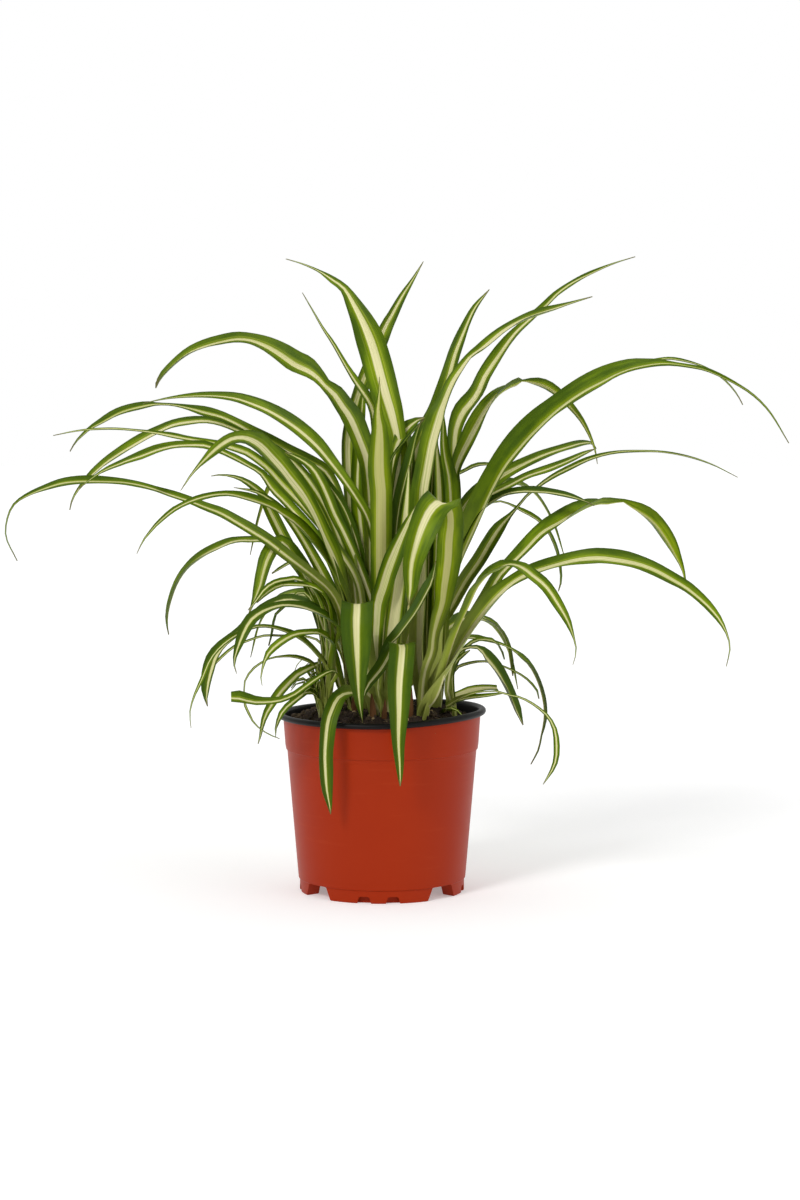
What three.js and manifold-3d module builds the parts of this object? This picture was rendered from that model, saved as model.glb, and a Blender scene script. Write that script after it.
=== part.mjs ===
// A potted variegated spider plant in a two-colour nursery pot.
// Millimetres, Z up. The origin is on the ground, under the pot's axis, and the front of the plant faces -Y.
import * as THREE from "three";
import { mergeVertices } from "three/addons/utils/BufferGeometryUtils.js";
import Module from "manifold-3d";

const kit = await Module();
kit.setup();

// Pot
const RIM_RADIUS = 65;
const RIM_TOP = 112;
const COLLAR_RADIUS = 61.6;
const COLLAR_FOOT_RADIUS = 60.2;
const COLLAR_FOOT = 89.5;
const BODY_TOP_RADIUS = 59.2;
const BODY_FOOT_RADIUS = 52.3;
const FOOT_RADIUS = 51.5;
const FOOT_HEIGHT = 8.2;
const WALL = 1.2;
const ARCH_WIDE = { angles: [49, 131, 229, 311], height: FOOT_HEIGHT, top: 20, bottom: 28, depth: 9 };
const ARCH_LOW = {
  angles: [-10, 10, 80, 100, 170, 190, 260, 280], height: 3.3, top: 6.4, bottom: 9.9, depth: 3,
};
const ARCH_OVERSHOOT = 6;
const POT_TURN = -2;
const DRAINS = 8;
const DRAIN_RADIUS = 3.5;
const DRAIN_CIRCLE = 33;
const DRAIN_SIDES = 8;
const POT_SIDES = 40;

// Potting mix
const SOIL_CROWN = 113.5;
const SOIL_EDGE = 104;
const SOIL_BASE = 10.5;
const SOIL_FLAT_RADIUS = 38;
const SOIL_SIDES = 32;
const SOIL_ROUGHNESS = 0.7;
const GAP = 0.3;

// Crowns
const STUB_DEPTH = 13;
const STUB_RISE = 2.5;
const STUB_SIDES = 10;
const ROOT_DEPTH = 7;
const NECK_RISE = 4;
const FAR_START = 25;
const CROWNS = {
  crown_left: { at: [-14, -12], radius: 8.5 },
  crown_front: { at: [1, -35], radius: 8 },
  crown_right: { at: [23, -30], radius: 8 },
  crown_centre: { at: [-1, 8], radius: 8.5 },
  crown_right_back: { at: [29, 2], radius: 8.5 },
  crown_back: { at: [6, 33], radius: 8 },
  offset_left: { at: [-36, -26], radius: 6.5 },
  offset_right: { at: [46, -14], radius: 6.5 },
};

// Blades
const BLADE_THICKNESS = 0.85;
const TIP_WIDTH = 1.3;
const FOLD = 33;
const LONGEST_STEP = 55;
const SHORTEST_STEP = 10;
const FLAT_BELOW = 12.5;

// The front viewpoint, from which the leaves were laid out in the upright plane through the pot's axis.
const EYE = new THREE.Vector3(11.3, -1700, 315);

// Each leaf is [crown, width, roll, [[across, up, depth], ...], extras]. Across and up are read in the
// plane of the pot's axis. The point is then moved along the line of sight from EYE to its depth in Y.
// Roll turns the near edge down. Extras: facing fixes the way across in plan, twist adds roll from half
// way on, late holds the width for longer, blunt ends the blade at that width, and behind repeats the
// leaf deeper, in another crown.
const LEAVES = {
  far_left: ["crown_left", 14, 45, [[-22, 150, -16], [-40, 194, -24], [-78, 224, -14], [-120, 243.5, 8],
    [-160, 255.5, 34], [-200, 255.5, 58], [-230.5, 241, 70], [-234, 222, 67], [-227, 206, 62]]],
  left_high: ["crown_left", 14, 45, [[-26, 176, -2], [-48, 255, 25], [-70, 284, 43], [-90, 293, 57],
    [-120, 301.5, 73], [-150, 304.5, 86], [-175, 295, 98], [-190, 281, 105], [-193.5, 275, 110]]],
  left_slim: ["crown_left", 8, 45, [[-20, 180, -2], [-40, 215, 3], [-63, 247, 10], [-80, 264.5, 16],
    [-100, 275, 19], [-130, 283.5, 25], [-160, 288, 31], [-190, 287.5, 34], [-203, 284.5, 34]]],
  left_mid: ["crown_left", 11, 45, [[-22, 185, 6], [-50, 240, 26], [-75, 275, 42], [-92, 287, 51],
    [-110, 295, 58], [-130, 292.5, 65], [-150, 284, 71], [-170, 270, 78], [-185, 256, 83], [-194, 237, 88]]],
  left_under: ["crown_left", 9.5, 45, [[-20, 175, -6], [-42, 225, -2], [-60, 253, 1], [-77, 271, 2],
    [-95, 277, 2], [-115, 280, -1], [-140, 277.5, -3], [-160, 270.5, -5], [-179, 260, -9], [-190, 250, -12]],
    { behind: ["crown_back", 90, 0.9] }],
  left_near: ["crown_left", 8, 45, [[-18, 175, -20], [-30, 209, -34], [-50, 230, -50], [-80, 247, -68],
    [-100, 248.5, -80], [-120, 243, -90], [-140, 229, -98], [-150, 216, -102], [-152.5, 211, -103]]],
  left_wide: ["crown_left", 20, 52, [[-20, 178, -20], [-36, 222, -39], [-52, 249, -56], [-70, 274, -74],
    [-80, 281.5, -87], [-90, 283.5, -99], [-100, 278, -110], [-110, 268.5, -120], [-118, 261, -127],
    [-125, 250, -133]]],
  left_blade: ["crown_left", 11, 40, [[-33, 140, 4], [-38, 160, 11], [-44, 180, 18], [-50, 195, 22],
    [-57, 211, 27], [-68, 231, 31], [-78, 250, 33], [-86, 256.5, 36], [-95, 259, 38], [-106, 259, 40]]],
  left_arch: ["crown_left", 8, 45, [[-25, 150, 10], [-45, 190, 29], [-60, 210, 43], [-73, 219, 55],
    [-90, 219.5, 67], [-104, 215.5, 76], [-119, 207, 84], [-128, 194.5, 91], [-134, 176, 96], [-133, 160, 100]],
    { behind: ["crown_back", 37, 1.1] }],
  left_drop: ["crown_left", 12, 40, [[-22, 160, -2], [-38, 195, -2], [-52, 220, -3], [-63, 231, -7],
    [-71, 226, -12], [-74.5, 210, -17], [-77, 195, -22], [-80, 181, -27], [-84, 172, -31]]],
  left_tip: ["crown_left", 4, 40, [[-20, 150, 4], [-40, 188, 16], [-50, 202, 22], [-58, 205, 26],
    [-68.3, 198.7, 28]]],

  centre_tall: ["crown_centre", 17, 0, [[-1, 150, -2], [-1.3, 200, -10], [-1.3, 250, -15], [-1.5, 290, -14],
    [-1.5, 320, -10]], { facing: 0 }],
  top_left: ["crown_centre", 19, 12, [[8, 180, 6], [13, 250, 10], [10, 270, 15], [7, 290, 19], [-2, 320, 27],
    [-10, 350, 36], [-20, 368.5, 45], [-35, 383, 56], [-50, 390, 66], [-59, 393, 73]],
    { facing: -20, behind: ["crown_back", 70, 1] }],
  top_thread: ["crown_centre", 6, 20, [[2, 220, 12], [-2, 270, 18], [-5, 301, 22], [-15, 317, 27],
    [-25, 333, 31], [-36, 350, 36], [-49, 372, 42]]],
  top_lean: ["crown_centre", 14, 15, [[-14, 200, 18], [-19, 255, 32], [-21, 280, 40], [-17, 308, 47],
    [-12, 320, 53], [-2, 336, 60], [8, 358, 69], [17, 375, 77], [26, 391, 86]], { facing: 15 }],
  top_wave: ["crown_centre", 14, 40, [[-6, 200, 12], [-8, 262, 21], [-11, 272, 25], [-22, 300, 33],
    [-40, 318, 42], [-60, 336.5, 52], [-80, 344.5, 62], [-100, 344, 71], [-120, 337, 79], [-139.5, 314, 86]],
    { behind: ["crown_back", 60, 0.85] }],
  top_right_slim: ["crown_centre", 12, 20, [[4, 200, 12], [8, 240, 20], [15, 262, 25], [25, 285, 32],
    [35, 308, 39], [44, 330, 46], [52, 350, 53], [66.5, 374, 62]], { behind: ["crown_back", 70, 1] }],
  left_top: ["crown_centre", 14, 45, [[0, 190, 2], [-5, 228, 0], [-20, 253, 1], [-40, 280, 10],
    [-60, 296.5, 17], [-80, 306, 25], [-100, 309.5, 30], [-130, 307.5, 37], [-148, 304, 42]]],
  hump: ["crown_centre", 9, 35, [[0, 215, 8], [5, 262, 14], [10, 278, 16], [15, 286, 18], [20, 291.5, 20],
    [25, 291, 22], [31, 284, 24]]],

  right_strong: ["crown_right_back", 16, 12, [[21.5, 145, -6], [22.5, 190, -9], [24, 250, -8],
    [28, 275, -6], [34, 297, -3], [42, 315, 2], [50, 329.5, 8], [60, 339.5, 14], [80, 354.5, 26],
    [100, 362.5, 38], [130, 370, 54]]],
  right_dark: ["crown_right_back", 12, 0, [[40, 200, 4], [44, 243, 8], [43.5, 265, 9], [41, 285, 10],
    [38, 297, 11]], { facing: 20 }],
  right_high: ["crown_right_back", 15, 25, [[38, 190, 8], [44, 240, 19], [46, 283, 28], [60, 312, 38],
    [75, 335, 48], [98, 361, 62], [120, 380, 76], [156.4, 394, 96]], { behind: ["crown_back", 48, 0.9] }],
  right_twist: ["crown_right_back", 11, 45, [[34, 200, 14], [45, 262, 27], [53, 282, 35], [62, 301, 41],
    [70, 308, 47], [82, 316.5, 51], [95, 318.5, 54], [110, 310, 57], [124, 291, 57], [134, 266, 57]],
    { twist: -80 }],
  right_big: ["crown_right_back", 23, 45, [[34, 170, -2], [50, 225, -8], [68, 257, -14], [90, 286, -22],
    [110, 304.5, -30], [140, 322.5, -40], [170, 329.5, -48], [200, 325.5, -55], [230, 309.5, -59],
    [252.5, 279.5, -60]]],
  right_shadow: ["crown_right_back", 6, 45, [[36, 180, 16], [60, 240, 26], [100, 295, 42], [140, 322, 55],
    [172, 331, 65], [200, 326.5, 72], [212, 319.5, 77], [224, 302.5, 81]],
    { behind: ["crown_back", 50, 1.6] }],
  right_turn: ["crown_right_back", 12, 40, [[34, 160, 8], [50, 190, 12], [60, 207, 15], [70, 222.5, 17],
    [80, 236, 18], [100, 254.5, 22], [120, 265, 25], [140, 273.5, 28], [160, 274.7, 30], [190, 271, 34],
    [210, 264.5, 37], [221, 258, 38]], { twist: -70 }],
  right_away: ["crown_right_back", 13, 45, [[36, 200, 20], [50, 240, 32], [70, 256.5, 44], [90, 268.5, 58],
    [110, 275, 76], [128, 277.5, 100], [138, 274, 128], [142, 266, 150]]],
  right_fold: ["crown_right_back", 10, 45, [[38, 195, 10], [51, 235, 20], [70, 249, 31], [90, 259, 43],
    [110, 267, 57], [132, 275.5, 74]]],
  right_slim: ["crown_right_back", 6, 35, [[37, 190, 0], [53, 237, -3], [70, 247, -8], [90, 251.5, -20],
    [110, 249.5, -28], [132, 240.5, -36]]],
  right_curl: ["crown_right_back", 4, 30, [[38, 190, 22], [55, 232, 28], [72, 243.5, 28], [90, 237.5, 26],
    [100, 230, 24], [106, 216, 22], [110.5, 204, 21], [110, 188, 20]]],
  right_thread: ["crown_right_back", 4, 30, [[30, 200, 24], [38, 245, 37], [50, 263.5, 45], [60, 267, 51],
    [70, 267, 56], [78, 265, 61]]],

  fold_front: ["crown_right", 19, 0, [[25, 137, -38], [32, 167, -44], [36, 190.5, -49], [39.5, 214, -54],
    [41, 235, -59], [40, 245, -66], [35, 244.5, -75], [30, 234, -82], [24.5, 219, -86], [20, 203, -88],
    [16.8, 182, -88]], { facing: 4, late: 6 }],
  right_long: ["crown_right", 15, 45, [[30, 122, -38], [40, 143, -43], [57, 170, -52], [75, 190, -61],
    [92, 201.5, -69], [110, 206.5, -77], [130, 209.8, -85], [150, 208, -93], [170, 202, -100],
    [190, 190.5, -105], [208, 173, -109], [217, 152, -111], [215.5, 139.5, -111]]],
  right_bow: ["crown_right", 14, 42, [[28, 122, -34], [38, 140, -34], [52, 168, -34], [65, 187, -33],
    [78, 203, -30], [95, 224, -24], [110, 235.5, -18], [130, 243.5, -12], [150, 243, -8], [165, 237, -6],
    [175, 225, -5], [187, 199, -4]], { twist: -75 }],
  right_over: ["crown_right", 10, 40, [[32, 122, -40], [45, 160, -56], [52, 178, -68], [57, 193, -79],
    [68, 203, -100], [81, 205, -120], [93, 199, -137], [106, 186, -152], [115, 170, -161],
    [120.5, 155, -166], [119, 141.5, -168]]],

  hang_left: ["crown_front", 20, 0, [[-6, 125, -37], [-12, 150, -44], [-15.5, 172, -53], [-16, 180, -63],
    [-16.3, 171, -72], [-16.2, 149, -74], [-15, 131, -69], [-12, 108, -54]], { facing: 0, late: 4 }],
  lean_front: ["crown_front", 13, 8, [[-3, 130, -34], [-5, 155, -33], [0, 177, -31], [7, 200, -30],
    [14, 219, -29], [20, 234, -28], [25, 245, -27]], { facing: 0 }],
  hang_centre: ["crown_front", 16, 0, [[6, 125, -39], [9, 142, -49], [11, 153, -62], [11.3, 147, -73],
    [11.3, 135, -77], [11.3, 115, -78], [11.2, 90, -77], [11.2, 66, -75]], { facing: 0, late: 4.5 }],
  hang_rim: ["crown_front", 12, 12, [[-9, 127, -42], [-21, 128.5, -50], [-27, 123, -57], [-31, 115, -62],
    [-34, 102, -67], [-35, 88, -68], [-35, 75, -67], [-32.3, 49, -64]], { facing: 10, late: 4.5 }],
  pale_front: ["crown_front", 13, 0, [[4, 135, -32], [7, 165, -28], [11, 195, -24], [14, 225, -20],
    [16, 250, -17], [17, 266, -16]], { facing: 0 }],
  dark_front: ["crown_front", 9, 25, [[-4, 128, -43], [4.3, 156, -46], [13, 168, -45], [20, 180, -42],
    [27, 192, -38], [33, 205, -34]]],
  short_front: ["crown_front", 8, 0, [[3, 122, -42], [7, 138, -50], [4, 143, -56], [-3, 137, -60],
    [-8, 129, -61], [-12, 119, -60]], { facing: -25 }],

  low_rise: ["offset_left", 9, 40, [[-34, 150, -32], [-37, 178, -38], [-42, 189, -42], [-50, 193, -48],
    [-58, 193.5, -54], [-66, 191.5, -60], [-73, 187, -65], [-84, 174, -70]]],
  low_arch: ["offset_left", 10, 40, [[-31, 150, -33], [-30, 160, -36], [-35, 173, -42], [-45, 178, -50],
    [-55, 180, -58], [-65, 180, -66], [-75, 176, -74], [-82, 169, -80], [-88, 158, -84], [-92, 145, -86],
    [-90, 136.6, -86]]],
  low_wide: ["offset_left", 12, 40, [[-31, 140, -32], [-33, 166, -36], [-40, 178, -35], [-50, 182.5, -33],
    [-60, 183.5, -30], [-70, 181, -28], [-80, 176, -26], [-96, 160, -23], [-104, 151, -22], [-109, 142, -22],
    [-111, 132, -22], [-109, 115, -22]]],
  low_long: ["offset_left", 6, 40, [[-34, 128, -31], [-36, 144, -38], [-46.5, 157, -48], [-56, 162, -56],
    [-67, 165.8, -64], [-79, 165.8, -72], [-90, 161.5, -79], [-100, 153.5, -85], [-107.5, 143.5, -90],
    [-117.5, 120, -95], [-119, 102, -95]]],
  low_thread: ["offset_left", 4, 40, [[-35, 140, -24], [-38, 155, -18], [-45, 160, -13], [-60, 161, -8],
    [-75, 160, -4], [-85, 156, -2], [-102, 144, 0], [-113, 124, 0]]],
  low_hook: ["offset_left", 8, 40, [[-34, 140, -36], [-37, 157, -46], [-46, 163, -56], [-58, 161, -66],
    [-67, 154, -72], [-71.4, 146.5, -75], [-74.5, 128.5, -77]]],
  low_ring: ["offset_left", 4, 40, [[-38, 130, -30], [-41, 142.8, -36], [-49, 146.5, -42],
    [-58.3, 147.7, -47], [-68.3, 146.5, -52], [-76.3, 142.8, -56], [-82.2, 137.2, -58], [-85.8, 125, -60],
    [-84.4, 113.6, -60], [-78.8, 103.7, -59], [-66, 95.5, -56]]],
  low_cut: ["offset_left", 8, 42, [[-33, 126, -33], [-28, 135, -42], [-32, 138.5, -52], [-40, 133, -60],
    [-50, 125, -66], [-60, 120, -70], [-68, 118.6, -73], [-77, 119, -75], [-86, 120.5, -77],
    [-94, 121.5, -78]], { blunt: 7.5 }],
  low_leaf: ["offset_left", 9, 40, [[-37, 128, -30], [-42, 142, -34], [-50, 138.5, -38], [-60, 131, -43],
    [-66, 124, -46], [-71, 115, -48], [-75.5, 101, -50], [-77, 92, -50]]],
  low_curl: ["offset_left", 5, 40, [[-40, 122, -34], [-46, 127, -42], [-54, 122.5, -48], [-60.8, 115.5, -52],
    [-65.2, 107.4, -54], [-66.4, 97, -55]]],
  low_strand: ["offset_left", 4, 35, [[-37, 150, -22], [-44, 184, -14], [-50, 188, -10], [-58, 186, -8],
    [-62, 178, -7], [-66, 171, -7], [-70.5, 152, -7]]],

  back_left: ["crown_back", 16, 30, [[-4, 150, 52], [-22, 205, 84], [-40, 248, 112], [-56, 262, 134],
    [-68, 256, 150], [-76, 236, 160], [-82, 210, 165]]],
  back_far: ["crown_back", 17, 25, [[4, 160, 56], [4, 215, 92], [2, 256, 124], [-2, 268, 146], [-6, 258, 160],
    [-10, 236, 168]]],
  back_right: ["crown_back", 15, 30, [[14, 150, 50], [36, 205, 78], [58, 244, 106], [78, 256, 128],
    [94, 250, 146], [106, 232, 158], [114, 208, 164]]],
  back_low_left: ["crown_back", 13, 35, [[-6, 135, 50], [-26, 168, 76], [-46, 186, 104], [-64, 184, 130],
    [-76, 168, 148], [-82, 146, 158]]],
  back_low: ["crown_back", 14, 20, [[6, 135, 56], [10, 172, 86], [14, 190, 118], [17, 182, 145],
    [19, 160, 160], [20, 136, 167]]],
  back_low_right: ["crown_back", 12, 35, [[18, 132, 46], [36, 160, 68], [54, 172, 94], [70, 166, 118],
    [80, 148, 134], [85, 126, 142]]],
  back_tall: ["crown_back", 17, 20, [[8, 180, 48], [12, 235, 64], [14, 268, 84], [15, 285, 106],
    [14, 288, 126], [12, 278, 142]]],

  side_wide: ["offset_right", 11, 45, [[41, 128, -12], [43, 143, -8], [48, 151, -4], [56, 153.5, 0],
    [63, 150.5, 3], [70, 143, 6], [76, 134, 8], [81, 124, 9], [85, 114, 9], [88.5, 103.5, 9]]],
  side_wave: ["offset_right", 7, 42, [[42, 125, -8], [45, 147, 2], [52, 158.5, 10], [60, 159.5, 16],
    [70, 156.5, 22], [80, 152, 27], [90, 146.5, 31], [96, 140, 33], [100, 129, 34], [102.5, 112, 34],
    [99.5, 93, 33], [93.5, 78.5, 31]]],
  side_bow: ["offset_right", 6, 40, [[42, 125, -6], [46, 155, 10], [52, 168, 20], [61, 172.3, 28],
    [68.3, 169.5, 33], [75, 160.8, 37], [79.5, 152, 39], [81.5, 134, 40]]],
  side_tip: ["offset_right", 4, 40, [[43, 130, -4], [51, 151, 6], [60, 157, 12], [69, 156, 17],
    [73.5, 152, 19], [76.5, 144.5, 20]]],
  side_thread: ["offset_right", 4, 40, [[42, 122, -6], [44, 138, 4], [50, 143, 10], [60, 144, 16],
    [70, 143, 20], [80, 138.5, 23], [88, 134.5, 25], [94, 129.5, 26], [98.5, 121, 27]]],
  side_hang: ["offset_right", 7, 42, [[45, 119, -20], [50, 122.5, -28], [57, 125, -36], [64, 125.5, -43],
    [72, 124.5, -49], [80, 122.5, -54], [90, 119, -59], [104, 109, -64], [109, 100, -66], [110.3, 88, -67],
    [106, 73, -66], [101, 66.5, -65]]],
  side_cut: ["offset_right", 8, 45, [[45, 120, -10], [48, 125, -7], [55, 128, -4], [62, 129, -1],
    [68, 128.5, 2], [73, 127, 4]], { blunt: 6 }],
  side_low: ["offset_right", 5, 40, [[47, 118.5, -16], [52, 121, -20], [58, 122.5, -24], [65, 123, -28],
    [74, 123.7, -32]]],
  side_pale: ["offset_right", 4, 20, [[41, 116, -19], [40, 117.5, -25], [43, 116.5, -30], [50, 112, -35]]],
  side_dark: ["offset_right", 4, 30, [[44, 135, -8], [47, 144, -5], [51, 149.5, -3], [56, 150.3, -1]]],
};

// The tuft of young leaves low in the left offset.
const TUFT = {
  crown: "offset_left", count: 7, width: 3.2, spread: [150, 265], reach: [14, 30], rise: [14, 34], seed: 11,
};

const MATERIALS = {
  pot: new THREE.MeshStandardMaterial({ color: 0x9e3320, roughness: 0.45 }),
  soil: new THREE.MeshStandardMaterial({ color: 0x2a1c12, roughness: 0.95 }),
  leaf: new THREE.MeshStandardMaterial({ color: 0x6f9a3a, roughness: 0.5, side: THREE.DoubleSide }),
};

// Points closer than this are one point.
const SEAM = 1e-4;

const radians = THREE.MathUtils.degToRad;

// A solid from a closed geometry, turned the right way out.
function solidOf(geometry) {
  geometry.deleteAttribute("normal");
  geometry.deleteAttribute("uv");
  const { attributes, index } = mergeVertices(geometry, SEAM);
  const corners = Uint32Array.from(index.array);
  const build = (triVerts) => new kit.Manifold(
    new kit.Mesh({ numProp: 3, vertProperties: attributes.position.array, triVerts }));
  const made = build(corners);
  return made.volume() < 0 ? build(corners.reverse()) : made;
}

// A turned form about Z. The profile runs from the axis at the bottom to the axis at the top.
function turned(profile, sides) {
  const points = profile.map(([r, z]) => new THREE.Vector2(r, z));
  return new THREE.LatheGeometry(points, sides).rotateX(Math.PI / 2);
}

// A block that cuts one arch through the foot, narrower at the top, at an angle from the front.
function archBlock(angle, arch, extra) {
  const bottom = FOOT_RADIUS * Math.sin(radians(arch.bottom / 2)) + extra;
  const top = FOOT_RADIUS * Math.sin(radians(arch.top / 2)) + extra;
  const height = arch.height + extra;
  const outline = new THREE.Shape([[-bottom, -1], [bottom, -1], [top, height], [-top, height]]
    .map(([x, y]) => new THREE.Vector2(x, y)));
  const inner = FOOT_RADIUS - arch.depth - extra;
  const depth = arch.depth + extra + ARCH_OVERSHOOT;
  const block = new THREE.ExtrudeGeometry(outline, { depth, bevelEnabled: false });
  return solidOf(block.translate(0, 0, inner).rotateX(Math.PI / 2).rotateZ(radians(angle + POT_TURN)));
}

function arches(kinds, extra) {
  return kit.Manifold.union(kinds.flatMap((arch) =>
    arch.angles.map((angle) => archBlock(angle, arch, extra))));
}

// The pot: an outer form with a recess inside its foot ring, less an inner form one wall smaller.
function pot() {
  const recess = FOOT_RADIUS - ARCH_WIDE.depth;
  const outer = solidOf(turned([
    [0, FOOT_HEIGHT], [recess, FOOT_HEIGHT], [recess, 0], [FOOT_RADIUS, 0], [FOOT_RADIUS, FOOT_HEIGHT],
    [BODY_FOOT_RADIUS, FOOT_HEIGHT], [BODY_TOP_RADIUS, COLLAR_FOOT - 0.6], [COLLAR_FOOT_RADIUS, COLLAR_FOOT],
    [COLLAR_RADIUS, RIM_TOP - 3.6], [COLLAR_RADIUS + 1.4, RIM_TOP - 3.4], [RIM_RADIUS - 0.5, RIM_TOP - 2.8],
    [RIM_RADIUS, RIM_TOP - 1.8], [RIM_RADIUS - 0.5, RIM_TOP - 0.7], [RIM_RADIUS - 1.7, RIM_TOP],
    [RIM_RADIUS - 3.4, RIM_TOP], [RIM_RADIUS - 4.6, RIM_TOP - 0.9], [0, RIM_TOP - 0.9],
  ], POT_SIDES)).subtract(arches([ARCH_WIDE, ARCH_LOW], 0));
  const low = WALL + GAP;
  const inner = solidOf(turned([
    [0, FOOT_HEIGHT + WALL], [recess + WALL, FOOT_HEIGHT + WALL], [recess + WALL, low],
    [FOOT_RADIUS - WALL, low], [BODY_FOOT_RADIUS - WALL, FOOT_HEIGHT + WALL],
    [BODY_TOP_RADIUS - WALL, COLLAR_FOOT], [COLLAR_FOOT_RADIUS - WALL, COLLAR_FOOT + 1.5],
    [COLLAR_RADIUS - WALL - 0.2, RIM_TOP - 2.5], [COLLAR_RADIUS - WALL, RIM_TOP + 1], [0, RIM_TOP + 1],
  ], POT_SIDES)).subtract(arches([ARCH_WIDE], WALL));
  const drain = solidOf(turned([[0, 0], [DRAIN_RADIUS, 0], [DRAIN_RADIUS, 12], [0, 12]], DRAIN_SIDES));
  const drains = [...Array(DRAINS).keys()].map((i) =>
    drain.translate(DRAIN_CIRCLE * Math.cos(radians(i * 360 / DRAINS)),
      DRAIN_CIRCLE * Math.sin(radians(i * 360 / DRAINS)), 0));
  return outer.subtract(inner).subtract(kit.Manifold.union(drains));
}

// The surface of the mix is a low mound with soft lumps.
function soilLump(x, y) {
  const broad = Math.sin(0.31 * x + 1.1) * Math.sin(0.27 * y + 0.4);
  return SOIL_ROUGHNESS * (broad + 0.5 * Math.sin(0.6 * x - 0.5 * y));
}

function soil() {
  const edge = COLLAR_RADIUS - WALL - 0.2 - GAP - 0.5;
  const profile = [
    [0, SOIL_BASE], [BODY_FOOT_RADIUS - WALL - GAP, SOIL_BASE],
    [BODY_TOP_RADIUS - WALL - GAP, COLLAR_FOOT - 0.5],
    [COLLAR_FOOT_RADIUS - WALL - GAP - 0.5, COLLAR_FOOT + 2], [edge, SOIL_EDGE], [edge - 7, SOIL_EDGE + 4],
    [edge - 14, SOIL_CROWN - 1.5], [SOIL_FLAT_RADIUS, SOIL_CROWN], [SOIL_FLAT_RADIUS / 2, SOIL_CROWN],
    [0, SOIL_CROWN],
  ];
  const body = turned(profile, SOIL_SIDES);
  const spots = body.attributes.position;
  for (let i = 0; i < spots.count; i++) {
    if (spots.getZ(i) > SOIL_EDGE - 1) spots.setZ(i, spots.getZ(i) + soilLump(spots.getX(i), spots.getY(i)));
  }
  const holes = Object.values(CROWNS).map(({ at, radius }) => {
    const floor = SOIL_CROWN - STUB_DEPTH - GAP;
    const top = SOIL_CROWN + 9;
    return solidOf(turned([[0, floor], [radius + GAP, floor], [radius + GAP, top], [0, top]], STUB_SIDES)
      .translate(at[0], at[1], 0));
  });
  return solidOf(body).subtract(kit.Manifold.union(holes));
}

// A point read in the plane of the pot's axis, moved along the line of sight to a depth in Y.
function sighted([across, up, depth]) {
  const t = 1 + depth / -EYE.y;
  return new THREE.Vector3(EYE.x + (across - EYE.x) * t, depth, EYE.z + (up - EYE.z) * t);
}

// Share of a blade's full width at a share t of its length: a narrowed base, then a long fine tip.
function taper(t, { blunt, late = 2.6 }) {
  const base = 0.4 + 0.6 * THREE.MathUtils.smoothstep(t, -0.1, 0.42);
  return blunt ? base : base * Math.pow(Math.max(0, 1 - Math.pow(t, late)), 0.85);
}

// Where a blade's rings stand along its line: at its points, with more where they lie far apart and
// fewer where they crowd.
function ringShares(line) {
  const spans = line.length - 1;
  const shares = [0];
  let last = line[0];
  for (let i = 0; i < spans; i++) {
    const gap = last.distanceTo(line[i + 1]);
    if (gap < SHORTEST_STEP && i < spans - 1) continue;
    const parts = Math.ceil(gap / LONGEST_STEP);
    for (let j = 1; j <= parts; j++) {
      shares.push((i + j / parts) / spans);
    }
    last = line[i + 1];
  }
  return shares;
}

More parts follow.
